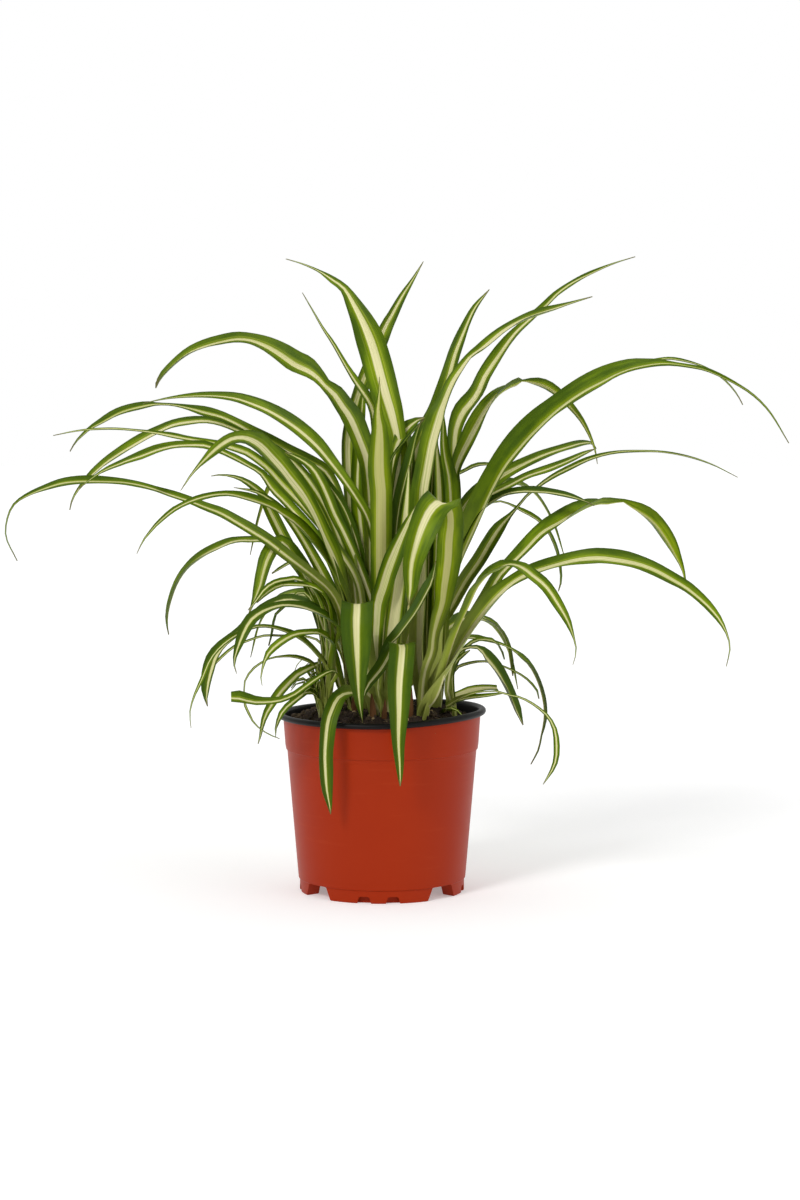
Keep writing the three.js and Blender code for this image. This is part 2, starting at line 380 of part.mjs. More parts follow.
// One blade: a V channel along a smooth line, or a flat strip where it is narrow, split alike on both faces.
function blade(line, width, roll, extras) {
  const curve = new THREE.CatmullRomCurve3(line, false, "centripetal");
  const start = line[0];
  const tip = line[line.length - 1];
  const shares = ringShares(line);
  const steps = shares.length - 1;
  const heading = new THREE.Vector3(tip.x - start.x, tip.y - start.y, 0).normalize();
  let across = new THREE.Vector3(heading.y, -heading.x, 0);
  if (extras.facing !== undefined) {
    const a = radians(extras.facing);
    across = new THREE.Vector3(Math.cos(a), Math.sin(a), 0);
  } else if (across.y > 0.2 || (across.y > -0.2 && across.x < 0)) {
    across.negate();
  }
  const up = new THREE.Vector3(0, 0, 1);
  const frames = [];
  let lean = 0;
  let run = 0;
  for (let i = 0; i <= steps; i++) {
    const at = curve.getPoint(shares[i]);
    const along = curve.getTangent(shares[i]);
    run += i ? at.distanceTo(frames[i - 1].at) : 0;
    const side = across.clone().addScaledVector(along, -across.dot(along)).normalize();
    const face = side.clone().cross(along);
    const inward = heading.clone().multiplyScalar(-along.z).addScaledVector(up, along.dot(heading));
    lean += face.dot(inward);
    frames.push({ at, side, face, run });
  }
  const flat = width < FLAT_BELOW;
  const ring = flat ? [[-1, 0], [1, 0], [1, 1], [-1, 1]] : [[-1, 0], [0, 0], [1, 0], [1, 1], [0, 1], [-1, 1]];
  const points = [];
  for (const { at, side, face, run: reached } of frames) {
    const t = reached / run;
    const normal = face.multiplyScalar(lean < 0 ? -1 : 1);
    const turn = radians(roll * THREE.MathUtils.smoothstep(t, 0, 0.2)
      + (extras.twist || 0) * THREE.MathUtils.smoothstep(t, 0.45, 0.85));
    const s = side.clone().multiplyScalar(Math.cos(turn)).addScaledVector(normal, -Math.sin(turn));
    const n = normal.clone().multiplyScalar(Math.cos(turn)).addScaledVector(side, Math.sin(turn));
    const full = extras.blunt ? THREE.MathUtils.lerp(width, extras.blunt, t) : width;
    const half = Math.max(TIP_WIDTH, full * taper(t, extras)) / 2;
    const fold = radians(flat ? 0 : FOLD);
    for (const [k, below] of ring) {
      const p = at.clone().addScaledVector(s, k * half * Math.cos(fold));
      p.addScaledVector(n, Math.abs(k) * half * Math.sin(fold) - below * BLADE_THICKNESS);
      points.push(p);
    }
  }
  const corners = ring.length;
  const upper = corners / 2 - 1;
  const triangles = [];
  const id = (i, k) => corners * i + (k % corners);
  for (let i = 0; i < steps; i++) {
    for (let k = 0; k < corners; k++) {
      const [p, q, r, s] = [id(i, k), id(i, k + 1), id(i + 1, k + 1), id(i + 1, k)];
      const lower = k > upper && k < corners - 1;
      triangles.push(...(lower ? [[p, q, s], [q, r, s]] : [[p, q, r], [p, r, s]]));
    }
  }
  for (let k = 0; k < upper; k++) {
    const [a, b, c, d] = [k, k + 1, corners - 2 - k, corners - 1 - k];
    triangles.push([id(0, a), id(0, c), id(0, b)], [id(0, a), id(0, d), id(0, c)]);
    triangles.push([id(steps, a), id(steps, b), id(steps, c)], [id(steps, a), id(steps, c), id(steps, d)]);
  }
  const geometry = new THREE.BufferGeometry().setFromPoints(points);
  geometry.setIndex(triangles.flat());
  return solidOf(geometry);
}

// Where a leaf leaves its crown: below the surface of the mix, a little towards the way it goes.
function rootPoints(crownName, next) {
  const { at, radius } = CROWNS[crownName];
  const away = new THREE.Vector2(next.x - at[0], next.y - at[1]);
  const reach = Math.min(away.length(), radius * 0.5);
  away.setLength(reach);
  const foot = new THREE.Vector3(at[0] + away.x * 0.6, at[1] + away.y * 0.6, SOIL_CROWN - ROOT_DEPTH);
  const neck = new THREE.Vector3(at[0] + away.x, at[1] + away.y, SOIL_CROWN + NECK_RISE);
  return [foot, neck];
}

function leafLine(crownName, spots) {
  const line = spots.map(sighted);
  return [...rootPoints(crownName, line[0]), ...line];
}

// A leaf on the far side: the same look from the front, but deeper towards its tip.
function deeper(spots, extra) {
  return spots.map(([across, up, depth], i) =>
    [across, up, depth + FAR_START + extra * Math.sqrt((i + 1) / spots.length)]);
}

function stub(crownName) {
  const { at, radius } = CROWNS[crownName];
  const top = SOIL_CROWN + STUB_RISE;
  return solidOf(turned([[0, SOIL_CROWN - STUB_DEPTH], [radius, SOIL_CROWN - STUB_DEPTH], [radius, top - 3],
    [radius * 0.75, top], [0, top]], STUB_SIDES).translate(at[0], at[1], 0));
}

// Park and Miller's generator, so that each run draws the same numbers.
function draws(seed) {
  let state = seed;
  return (low, high) => {
    state = (state * 48271) % 2147483647;
    return low + (high - low) * (state / 2147483647);
  };
}

function tuft() {
  const draw = draws(TUFT.seed);
  const { at } = CROWNS[TUFT.crown];
  return [...Array(TUFT.count).keys()].map(() => {
    const a = radians(draw(...TUFT.spread));
    const reach = draw(...TUFT.reach);
    const rise = draw(...TUFT.rise);
    const spot = (share, height) => new THREE.Vector3(at[0] + reach * share * Math.cos(a),
      at[1] + reach * share * Math.sin(a), SOIL_CROWN + height);
    const line = [spot(0.05, -ROOT_DEPTH), spot(0.15, 3), spot(0.5, rise), spot(0.85, rise * 1.05),
      spot(1.1, rise * 0.8)];
    return blade(line, TUFT.width, 30, {});
  });
}

function crowns() {
  const blades = Object.fromEntries(Object.keys(CROWNS).map((name) => [name, [stub(name)]]));
  for (const [crownName, width, roll, spots, extras = {}] of Object.values(LEAVES)) {
    blades[crownName].push(blade(leafLine(crownName, spots), width, roll, extras));
    if (extras.behind) {
      const [other, extra, share] = extras.behind;
      const line = leafLine(other, deeper(spots, extra));
      blades[other].push(blade(line, width * share, roll, { ...extras, behind: undefined }));
    }
  }
  blades[TUFT.crown].push(...tuft());
  return Object.entries(blades).map(([name, parts]) => [name, fused(parts)]);
}

// Joined into one body, with the small hollows that crossing blades seal filled in.
function fused(parts) {
  const bodies = kit.Manifold.union(parts).decompose();
  return bodies.reduce((best, body) => (body.volume() > best.volume() ? body : best));
}

function meshOf(name, made, material) {
  const raw = made.getMesh();
  const geometry = new THREE.BufferGeometry();
  geometry.setAttribute("position", new THREE.BufferAttribute(new Float32Array(raw.vertProperties), 3));
  geometry.setIndex(new THREE.BufferAttribute(new Uint32Array(raw.triVerts), 1));
  geometry.computeVertexNormals();
  const mesh = new THREE.Mesh(geometry, material.clone());
  mesh.name = name;
  return mesh;
}

const group = new THREE.Group();
group.add(meshOf("pot", pot(), MATERIALS.pot));
group.add(meshOf("soil", soil(), MATERIALS.soil));
for (const [name, made] of crowns()) {
  group.add(meshOf(name, made, MATERIALS.leaf));
}

export default group;
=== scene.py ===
"""A potted variegated spider plant: arching striped leaves, dark potting mix and a two-colour pot.

Lengths in the tables are millimetres, and every mesh is in metres. The origin is on the ground under the
pot's axis, +Z is up, and the front of the plant faces -Y.
"""

import math

import bpy
import numpy as np
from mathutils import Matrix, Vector


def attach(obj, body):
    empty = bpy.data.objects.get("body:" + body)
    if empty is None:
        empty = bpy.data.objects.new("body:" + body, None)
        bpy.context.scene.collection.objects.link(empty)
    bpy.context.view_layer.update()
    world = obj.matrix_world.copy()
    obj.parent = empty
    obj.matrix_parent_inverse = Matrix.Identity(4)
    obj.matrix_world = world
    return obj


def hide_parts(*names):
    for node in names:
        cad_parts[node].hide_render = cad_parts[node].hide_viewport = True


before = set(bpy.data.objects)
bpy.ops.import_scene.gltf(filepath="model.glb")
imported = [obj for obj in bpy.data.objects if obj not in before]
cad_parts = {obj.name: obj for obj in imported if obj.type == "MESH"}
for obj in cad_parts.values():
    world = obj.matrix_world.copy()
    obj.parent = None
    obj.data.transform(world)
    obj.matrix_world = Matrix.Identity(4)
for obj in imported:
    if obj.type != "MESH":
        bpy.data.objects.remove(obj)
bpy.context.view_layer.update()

MM = 0.001

# The front viewpoint. The leaves were laid out from it, in the upright plane through the pot's axis.
EYE = np.array([11.3, -1700.0, 315.0])
AIM = np.array([11.3, 0.0, 181.9])
LENS = 82.1
SENSOR = 36

# Studio: the strength of the world's light from the front and from the back, and the lamps, each with the
# place in metres from which it shines at LAMP_AIM, its strength and its width in degrees.
FRONT_LIGHT = 0.3
BACK_LIGHT = 0.8
LAMPS = {"key": [(-0.75, -1.2, 1.3), 1.3, 14], "fill": [(1.2, -1.0, 0.9), 0.55, 50]}
LAMP_AIM = (0, 0, 0.2)
FLOOR_REACH = 9000

# Pot: a foot ring, a tapering body, a collar that stands proud of it, and a rolled rim.
RIM_RADIUS = 65
RIM_TOP = 112
RIM_ROLL = (2.3, 1.8)
COLLAR_RADIUS = 61.6
COLLAR_TOP = RIM_TOP - 3.8
COLLAR_FOOT_RADIUS = 60.2
COLLAR_FOOT = 89.5
BODY_TOP_RADIUS = 59.2
BODY_TOP = COLLAR_FOOT - 0.6
BODY_FOOT_RADIUS = 52.3
FOOT_RADIUS = 51.5
FOOT_HEIGHT = 8.2
FOOT_RING = 9
WALL = 1.2
POT_SIDES = 240
POT_CREASE = 32

# The rim rises by RIM_LIFT at its +X side, starting from this share of its radius. The edge where the red
# ends has its own share of that lift.
RIM_LIFT = 3.0
RIM_LIFT_FROM = -0.1
RIM_LIFT_SHARE = 0.84

# Arches of the foot: the angles of their middles, their height, the angles that their top and bottom
# span, and their depth. POT_TURN turns all of them round the axis.
ARCH_WIDE = {"angles": [49, 131, 229, 311], "height": 8.2, "top": 20, "bottom": 28, "depth": 14}
ARCH_LOW = {"angles": [-10, 10, 80, 100, 170, 190, 260, 280], "height": 4.2, "top": 8, "bottom": 10.8,
            "depth": 4}
ARCH_CORNER = 1.6
POT_TURN = -2

# Drain holes of the floor.
DRAIN_COUNT = 8
DRAIN_AWAY = 33
DRAIN_RADIUS = 3.5
DRAIN_TOP = 12

# Potting mix: its section as [distance from the axis, height], its foot, and the crumbs that lie on it.
SOIL_CROWN = 113.5
SOIL_REACH = 59.6
SOIL_SECTION = [[0, SOIL_CROWN], [38, SOIL_CROWN], [45.4, 112], [52.4, 108], [SOIL_REACH, 104]]
SOIL_FOOT = 10.5
SOIL_SIDES = 300
SOIL_ROWS = 75
SOIL_ROUGHNESS = 0.7
CRUMB_REACH = 58.4
LUMPS = 1500
FIBRES = 260

# Seeds of the random draws.
LEAF_SEED = 21
SOIL_SEED = 8
CRUMB_SEED = 5

# A leaf starts ROOT_DEPTH below the mix and passes its neck NECK_RISE above it. The neck stands at most
# NECK_REACH of the crown's radius from its middle, and the foot at FOOT_REACH of the neck's distance.
# Both have their share of the width that the leaf shows at its first point. A repeated leaf starts
# FAR_START deeper.
ROOT_DEPTH = 7
NECK_RISE = 4
NECK_REACH = 0.5
FOOT_REACH = 0.6
NECK_SHARE = 1.0
FOOT_SHARE = 0.85
FAR_START = 25

# Crowns: where each stands in the mix, and its radius.
CROWNS = {
    "crown_left": ([-14, -12], 8.5),
    "crown_front": ([1, -35], 8),
    "crown_right": ([23, -30], 8),
    "crown_centre": ([-1, 8], 8.5),
    "crown_right_back": ([29, 2], 8.5),
    "crown_back": ([6, 33], 8),
    "offset_left": ([-36, -26], 6.5),
    "offset_right": ([46, -14], 6.5),
}

# Each leaf is [crown, width, roll, [[across, up, depth, seen], ...], extras]. Across and up are read in
# the plane of the pot's axis. The point is then moved along the line of sight from EYE to its depth in Y.
# Seen is the width that shows from the front, and the leaf's own width then limits it and sets its waves.
# A leaf without it has the taper's width. Roll turns the near edge down. Extras: facing fixes the way
# across in plan, twist adds roll from half way on, fold is the fold's angle, and behind is the crown that
# repeats the leaf, how much deeper, and the share of its width.
LEAVES = {
    "far_left": ["crown_left", 14, 45, [[-22, 150, -16, 6], [-26, 177, -21, 6], [-32, 188, -23, 6],
        [-40, 195.5, -24, 6.5], [-50, 203.3, -22, 6.8], [-60, 210.8, -19, 7], [-70, 219, -17, 7],
        [-80, 225.6, -13, 7.1], [-90, 231.4, -9, 6.8], [-100, 236.8, -4, 6.2], [-109.5, 240.3, 2, 5],
        [-120, 244.6, 8, 4.4], [-130, 248, 14, 4.5], [-140, 251.1, 21, 3.6], [-150, 253.7, 28, 3.8],
        [-160, 255.6, 34, 3.9], [-170, 256.6, 40, 4.5], [-180, 257, 46, 5.3], [-190, 256.6, 52, 5.4],
        [-200, 255, 58, 5], [-210, 251.8, 62, 3.6], [-219, 248.2, 66, 2.3], [-227, 243.2, 69, 1.1],
        [-231, 238, 70, 0.8], [-234, 222.7, 67, 0.7], [-227, 206.3, 62, 0.3]]],
    "left_high": ["crown_left", 14, 48, [[-16, 180, -2, 6], [-25, 240, 22, 7], [-35, 262.5, 34, 7],
        [-45, 268.5, 40, 8], [-58, 275, 45, 8], [-70, 281.5, 51, 8], [-80, 286.5, 55, 7.5],
        [-90, 292, 59, 6.2], [-100, 296.6, 63, 6], [-109.5, 299.3, 68, 6.3], [-120, 301.8, 73, 3.5],
        [-130, 303.4, 77, 1.8], [-140, 303.7, 82, 2.2], [-145, 303.4, 84, 4.1], [-150, 302.6, 86, 4.9],
        [-156, 301.4, 89, 5], [-163, 299.3, 92, 4.8], [-169, 296.4, 96, 4.4], [-175, 292.7, 98, 3.4],
        [-180, 289.7, 101, 2.3], [-185.5, 285, 104, 1.7], [-190, 280.2, 107, 0.9],
        [-193.5, 274.4, 110, 0.3]]],
    "left_slim": ["crown_left", 10, 48, [[-14, 190, -2, 5], [-30, 218, 5, 5.5], [-45, 237, 10, 6],
        [-62, 255, 16, 6], [-70, 264, 18, 5.5], [-78, 270.5, 19, 5.5], [-84, 274.3, 20, 5.3],
        [-90, 276.4, 20, 5.3], [-100, 279, 21, 4], [-114, 281.5, 23, 3], [-120, 282.4, 24, 3],
        [-130, 284.5, 25, 3.4], [-137, 285.7, 27, 2.5], [-150, 287.3, 29, 1.5], [-166, 288.5, 32, 1.4],
        [-180, 288.1, 33, 1.2], [-190, 287, 34, 0.8], [-203.8, 284.2, 34, 0.3]]],
    "left_mid": ["crown_left", 13, 48, [[-17, 185, 6, 6], [-30, 230, 22, 6], [-42, 252, 32, 6],
        [-56, 269, 40, 5], [-72, 280, 46, 4], [-88, 287, 51, 3.5], [-100, 292, 55, 4],
        [-109.5, 294, 58, 4.4], [-120, 293.4, 62, 5], [-130, 291.5, 65, 4.9], [-140, 287.4, 68, 5.3],
        [-150, 282.5, 71, 5.7], [-160, 276.4, 75, 4.8], [-166, 272.4, 77, 4.5], [-172.4, 267.9, 79, 4.3],
        [-179.7, 261.5, 81, 3.8], [-183.5, 257.4, 83, 3], [-187, 253, 85, 2], [-190.3, 248.6, 87, 1.2],
        [-193, 242.6, 88, 0.7], [-194, 238, 88, 0.3]]],
    "left_under": ["crown_left", 11, 48, [[-20, 175, -6, 6], [-36, 215, -4, 6], [-58, 242, 0, 6],
        [-67, 251.5, 1, 6], [-74.5, 261.3, 2, 4], [-84, 267, 2, 3.4], [-90, 270.3, 2, 3.8],
        [-97, 273.5, 2, 3.5], [-104, 276.8, 1, 4.5], [-109.5, 278.6, 0, 5.2], [-120, 279, -1, 4.3],
        [-130, 278.4, -2, 4.4], [-140, 276, -3, 5], [-150, 272, -4, 5], [-158, 269, -5, 3.7],
        [-164, 266.5, -6, 3.3], [-170, 264, -7, 2.6], [-175.5, 261, -8, 1.5], [-190, 250, -12, 0.4]],
        {"behind": ["crown_back", 90, 0.9]}],
    "left_near": ["crown_left", 10, 48, [[-18, 170, -20, 5], [-30, 203, -34, 6], [-40, 218, -42, 6],
        [-52, 231, -52, 5.2], [-60, 236.3, -57, 5], [-66, 240, -61, 4.5], [-74, 243.5, -65, 4.6],
        [-84, 246.6, -70, 4.7], [-95.3, 248.4, -77, 3.3], [-105, 247.6, -82, 3.3],
        [-114.4, 245.3, -87, 3.7], [-122, 242.3, -91, 3], [-130, 238, -94, 3.1], [-136, 233, -97, 2.6],
        [-140.3, 229, -98, 2.1], [-144.3, 224.3, -100, 1.5], [-148.5, 218.9, -102, 0.9],
        [-152.5, 210.7, -103, 0.3]]],
    "left_wide": ["crown_left", 19, 60, [[-18, 165, -20, 6], [-22, 185, -24, 6], [-26, 202, -30, 7],
        [-30.5, 214, -36, 9], [-35, 224, -40, 11], [-40, 235, -45, 13.5], [-47, 247, -52, 15.6],
        [-53.5, 256, -59, 16.4], [-59.8, 264.6, -66, 16.6], [-66, 271, -72, 15.5], [-72.5, 277, -79, 13],
        [-80, 281.5, -88, 9.5], [-86, 283.3, -95, 7.3], [-92, 282.8, -101, 6.8], [-97.5, 280, -107, 7],
        [-104, 275, -114, 6], [-110, 269.2, -120, 3.6], [-114.5, 264.5, -124, 2], [-119, 259, -128, 1.2],
        [-122, 254.5, -131, 0.8], [-125, 250, -133, 0.3]], {"fold": 14}],
    "left_blade": ["crown_left", 12, 46, [[-31, 140, 4, 6], [-37, 165, 11, 7], [-44, 188, 17, 8],
        [-50, 203, 22, 8], [-56, 212, 25, 8], [-61, 221, 28, 8], [-66, 231, 30, 8], [-70.5, 240, 32, 7],
        [-74, 247.5, 33, 5], [-80, 252.8, 34, 4.6], [-86, 256.7, 36, 3.2], [-90, 258.3, 37, 2.4],
        [-95.3, 259.5, 38, 1.4], [-101.7, 259.8, 39, 0.8], [-106, 259.1, 40, 0.3]]],
    "left_arch": ["crown_left", 8, 45, [[-25, 150, 10, 4], [-45, 190, 29, 4], [-60, 210, 43, 4],
        [-73, 219.5, 55, 4.2], [-80, 219.8, 60, 4.2], [-88, 219.8, 66, 3.6], [-94.5, 218.8, 70, 4.2],
        [-100, 216.8, 74, 4.6], [-110.5, 211.8, 80, 4.3], [-118.5, 206, 84, 4.3], [-124, 200, 88, 4],
        [-128.5, 192.5, 92, 3.2], [-132, 183, 95, 2.4], [-134, 174, 97, 1.8], [-134, 166, 99, 0.8],
        [-133, 160.3, 100, 0.3]], {"behind": ["crown_back", 37, 1.1]}],
    "left_drop": ["crown_left", 11, 40, [[-22, 150, -2, 6], [-38, 186, -2, 7], [-50, 206, -3, 8],
        [-60, 218, -7, 8], [-66, 217, -12, 9], [-71.5, 209, -17, 9.3], [-73.8, 202, -20, 8],
        [-75.4, 196, -22, 7.3], [-76.8, 190, -24, 6.3], [-78.3, 186, -26, 4.6], [-80, 181, -28, 2.4],
        [-83, 173, -30, 0.6]]],
    "left_tip": ["crown_left", 4, 46, [[-20, 150, 4, 2], [-40, 190, 17, 2], [-52, 206.5, 23, 1.8],
        [-58.5, 204.7, 26, 1.8], [-63, 202.2, 27, 1.9], [-68.5, 198.5, 28, 0.6]]],
    "centre_tall": ["crown_centre", 17, 0, [[-1, 150, -2, 11], [-0.5, 200, -10, 13], [-0.4, 240, -14, 13.7],
        [-0.5, 250, -15, 14], [-1.5, 260, -15, 14.1], [-1.7, 270, -15, 13.7], [-1.4, 280, -14.5, 12.2],
        [-1.5, 290, -14, 9.3], [-2.1, 295, -13.5, 7], [-2.3, 300, -13, 5], [-1.5, 310, -11.5, 2],
        [-1.5, 320.5, -10, 0.3]], {"facing": 0}],
    "top_left": ["crown_centre", 19, 12, [[8, 180, 6, 11], [8, 240, 10, 12], [10, 265, 14, 12],
        [9.5, 282, 17, 12], [7.5, 291, 19, 14], [5.5, 299, 21, 16], [3.4, 306, 23, 17],
        [-0.5, 320, 27, 18.5], [-4.2, 333.7, 31, 18.5], [-7.5, 344, 34, 17.9], [-12, 355, 38, 14.1],
        [-17.2, 365, 43, 10], [-23.3, 375, 48, 5.6], [-30, 380, 52, 4.3], [-38.5, 385.5, 58, 1.6],
        [-49, 390, 65, 0.8], [-59, 393, 73, 0.3]], {"facing": -20, "fold": 18,
        "behind": ["crown_back", 70, 1]}],
    "top_thread": ["crown_centre", 8, 20, [[2, 220, 12, 6], [-2, 270, 18, 7], [-5, 301, 22, 6.5],
        [-12, 313, 25, 5], [-15, 317, 27, 4.5], [-21, 326, 29, 3.3], [-30.5, 342, 33, 2.2],
        [-36, 350, 36, 1.4], [-43, 362, 39, 0.8], [-49, 372.3, 42, 0.3]]],
    "top_lean": ["crown_centre", 14, 15, [[-16, 200, 18, 7], [-18, 230, 26, 8], [-20, 270, 37, 10],
        [-19.5, 285, 41, 10], [-15, 305, 47, 9.5], [-11, 318, 52, 9], [-5, 332, 58, 9.3], [0, 344, 63, 9],
        [3.3, 352, 66, 8.1], [6, 357, 68, 7.1], [12.8, 370, 74, 4.8], [19, 380, 79, 2.4],
        [25.7, 391.4, 86, 0.4]], {"facing": 15}],
    "top_wave": ["crown_centre", 16, 40, [[-6, 200, 12, 9], [-6, 240, 17, 11], [-8, 268, 23, 13],
        [-12.4, 281.4, 27, 12.5], [-17.6, 294.2, 31, 13.3], [-20.4, 299.1, 33, 12.5],
        [-23.7, 303.5, 35, 11.8], [-29, 311, 38, 10.5], [-34.5, 315.5, 40, 7.5], [-39.7, 321.3, 42, 9.4],
        [-46.6, 326.7, 45, 13], [-53.6, 330.3, 49, 13], [-62, 336, 53, 12], [-70, 340.5, 57, 10],
        [-80, 344, 62, 7.5], [-90, 345, 66, 6.5], [-100, 343.5, 71, 5.5], [-110, 341, 75, 5],
        [-120, 336.5, 79, 4.5], [-130, 328.5, 82, 3.6], [-137.8, 319.7, 85, 2.5], [-140, 313.6, 86, 0.3]],
        {"behind": ["crown_back", 60, 0.85]}],
    "top_right_slim": ["crown_centre", 12, 20, [[4, 200, 12, 7], [8, 240, 20, 8], [15, 262, 25, 9],
        [25, 285, 32, 10], [33.5, 300, 37, 10], [37.5, 312, 40, 9], [42.7, 328, 45, 8.2],
        [45.2, 336, 48, 7.8], [48.3, 344.3, 51, 6.9], [51.5, 352, 53, 5.2], [57.5, 363.5, 57, 3.5],
        [66.5, 374.3, 62, 0.3]], {"behind": ["crown_back", 70, 1]}],
    "left_top": ["crown_centre", 14, 45, [[0, 190, 2, 6], [-5, 222, 0, 6], [-9, 235, 0, 6],
        [-15, 245.5, 0, 6], [-23, 257.5, 2, 6.3], [-31, 268.2, 6, 7.5], [-40, 279.1, 10, 9.2],
        [-50, 288.2, 13, 9.3], [-59.7, 295.2, 17, 8.9], [-70, 301, 21, 8], [-80, 305, 25, 7.3],
        [-90.2, 308, 28, 5.9], [-101.7, 309.3, 30, 4.3], [-114.4, 309.4, 33, 3.2], [-130, 307.8, 37, 1.5],
        [-140, 305.9, 40, 0.6], [-148, 304, 42, 0.3]]],
    "hump": ["crown_centre", 10, 35, [[0, 215, 8, 7], [2, 240, 11, 8], [5, 265, 14, 9], [9, 280, 16, 10],
        [13.5, 287.5, 18, 10], [18, 291.5, 20, 6.5], [22, 294, 21, 3.4], [26.5, 295.3, 22, 0.8]]],
    "right_strong": ["crown_right_back", 16, 12, [[21.5, 145, -6, 8], [22.5, 190, -9, 10],
        [23.5, 250, -8, 12], [25.3, 260, -7, 12.3], [27.2, 270, -6, 13], [29, 280, -5, 13.2],
        [31.5, 290, -4, 12.5], [34.5, 299, -3, 8.5], [38, 307, 0, 6.3], [43, 318, 3, 5.8],
        [48.5, 326.5, 7, 5], [54, 333.5, 10, 3.6], [60, 338, 14, 4.4], [66, 343, 18, 5],
        [74.6, 349.8, 23, 4.6], [86, 356.3, 30, 4], [98, 361, 37, 4], [105, 362.9, 41, 3.3],
        [116.5, 366.1, 47, 1.6], [130, 369.9, 54, 0.3]]],
    "right_dark": ["crown_right_back", 12, 0, [[40, 200, 4, 9], [43.5, 240, 8, 10], [43.3, 250, 8.5, 9.8],
        [42.2, 260, 9, 8.7], [40, 270, 9.5, 7], [38.6, 280, 10, 5], [38.3, 290, 11, 3],
        [38, 299.6, 11, 0.3]], {"facing": 20}],
    "right_high": ["crown_right_back", 15, 25, [[38, 190, 10, 8], [44, 240, 24, 10], [44, 265, 30, 8],
        [44.5, 280, 34, 8], [45.8, 290, 37, 9], [49.5, 300, 40, 10.5], [58.5, 311.5, 43, 9.6],
        [63, 321, 46, 8.7], [70, 332.5, 50, 7.8], [76, 341, 53, 6.8], [81.5, 347.3, 56, 5.4],
        [92, 357, 61, 4.2], [102, 366.3, 66, 4], [107, 371.2, 69, 3.6], [120, 379.9, 76, 2.9],
        [127, 383.7, 80, 2.4], [142, 389.9, 88, 0.9], [156.4, 394.4, 96, 0.3]],
        {"behind": ["crown_back", 48, 0.9]}],
    "right_twist": ["crown_right_back", 12, 45, [[34, 200, 12, 6], [43, 250, 18, 7], [45.3, 262, 20, 6.5],
        [48, 271, 22, 8.5], [52.5, 281, 24, 9.5], [57, 291, 27, 9.8], [61.5, 300, 30, 10.2],
        [66, 306.3, 34, 10.4], [71, 311, 37, 10], [76, 314, 40, 9], [80.5, 316.2, 43, 6.3],
        [84, 317.6, 45, 3.2], [87.5, 318.3, 47, 0.9], [92, 318.5, 49, 3.2], [97, 317.6, 51, 5.4],
        [102, 315.7, 53, 6.2], [107.5, 312.2, 55, 6], [114, 306, 56, 5], [124.5, 293, 57, 3],
        [132, 276.5, 57, 1.2], [133.8, 266.6, 57, 0.3]], {"twist": -80}],
    "right_big": ["crown_right_back", 21, 45, [[34, 170, -2, 9], [44, 205, -5, 10], [54, 230, -9, 11],
        [64, 252, -13, 11.5], [72, 266, -16, 11.5], [80, 277, -19, 12], [88, 286.5, -21, 12.2],
        [97, 295.3, -25, 12], [106, 302.5, -28, 11.2], [115, 308.8, -32, 11.2], [125, 315.2, -35, 11],
        [135, 320.6, -38, 10.5], [145, 325.2, -41, 8.8], [155, 328, -44, 7.6], [165, 329, -46, 5.6],
        [172, 329.3, -48, 4.4], [180, 328.6, -50, 2.5], [190, 327.2, -52, 2], [200, 325.4, -55, 2.2],
        [210, 321.3, -57, 2], [220, 316, -58, 1.6], [230, 309.4, -59, 1.3], [240, 299.4, -60, 1],
        [252.5, 279.5, -60, 0.4]]],
    "right_shadow": ["crown_right_back", 6, 45, [[36, 180, 16, 4], [60, 240, 26, 5], [100, 295, 42, 5],
        [140, 322, 55, 4], [172, 331.5, 65, 1.5], [180.4, 331.8, 68, 1.7], [190, 329.9, 70, 1.4],
        [199.4, 326.8, 72, 1], [211.3, 319.5, 77, 0.9], [219.8, 310.2, 80, 0.6], [223.7, 303.3, 81, 0.3]],
        {"behind": ["crown_back", 50, 1.6]}],
    "right_turn": ["crown_right_back", 12, 58, [[34, 160, 8, 7], [44, 180, 11, 8], [52, 195, 13, 9],
        [60, 206.5, 15, 9.2], [66, 216.5, 16, 9], [72, 226, 17, 8], [77, 232, 18, 4.6],
        [81, 236.3, 18, 2.2], [85.5, 241.5, 19, 1.8], [90, 246.9, 20, 1.8], [95, 251, 21, 2],
        [100, 254.9, 22, 2.6], [108, 260, 23, 3.2], [117, 264.6, 24, 3.4], [126, 269, 26, 3],
        [135, 272, 27, 2.4], [145, 273.9, 28, 1.9], [160, 274.6, 30, 1.5], [175, 274.1, 32, 1.3],
        [190, 271.3, 34, 1], [205, 266.3, 37, 0.7], [221, 258.3, 38, 0.3]]],
    "right_away": ["crown_right_back", 13, 45, [[36, 200, 20, 8], [44, 225, 27, 8.5], [50, 238.5, 32, 8.5],
        [56, 246.3, 36, 9], [64.4, 252.7, 41, 10.2], [77, 261.5, 49, 8.6], [90, 268.2, 58, 6.4],
        [103.5, 273.9, 70, 5.8], [116.7, 278, 83, 4.6], [126, 280, 97, 3], [131, 279.3, 104, 1],
        [133, 276.4, 107, 0.4]]],
    "right_fold": ["crown_right_back", 10, 45, [[38, 195, 10, 5], [52, 232, 20, 5.5], [62, 244.5, 26, 5.5],
        [70, 249.3, 31, 5.4], [80, 254.3, 37, 5], [90.3, 259.6, 43, 4.4], [103.5, 264, 52, 4.8],
        [116.7, 269.3, 62, 3.9], [126, 273.6, 70, 2.4], [132, 275.8, 74, 0.5]]],
    "right_slim": ["crown_right_back", 9, 35, [[37, 190, 0, 6], [52, 225, -2, 8], [58, 235, -4, 7],
        [64, 242, -6, 5], [70, 245.5, -8, 4.2], [76.3, 248.7, -12, 3.6], [82, 250, -16, 3.6],
        [89, 250.8, -19, 3.8], [96, 250.7, -22, 4.3], [103, 250, -25, 3.8], [110, 248.7, -28, 3.8],
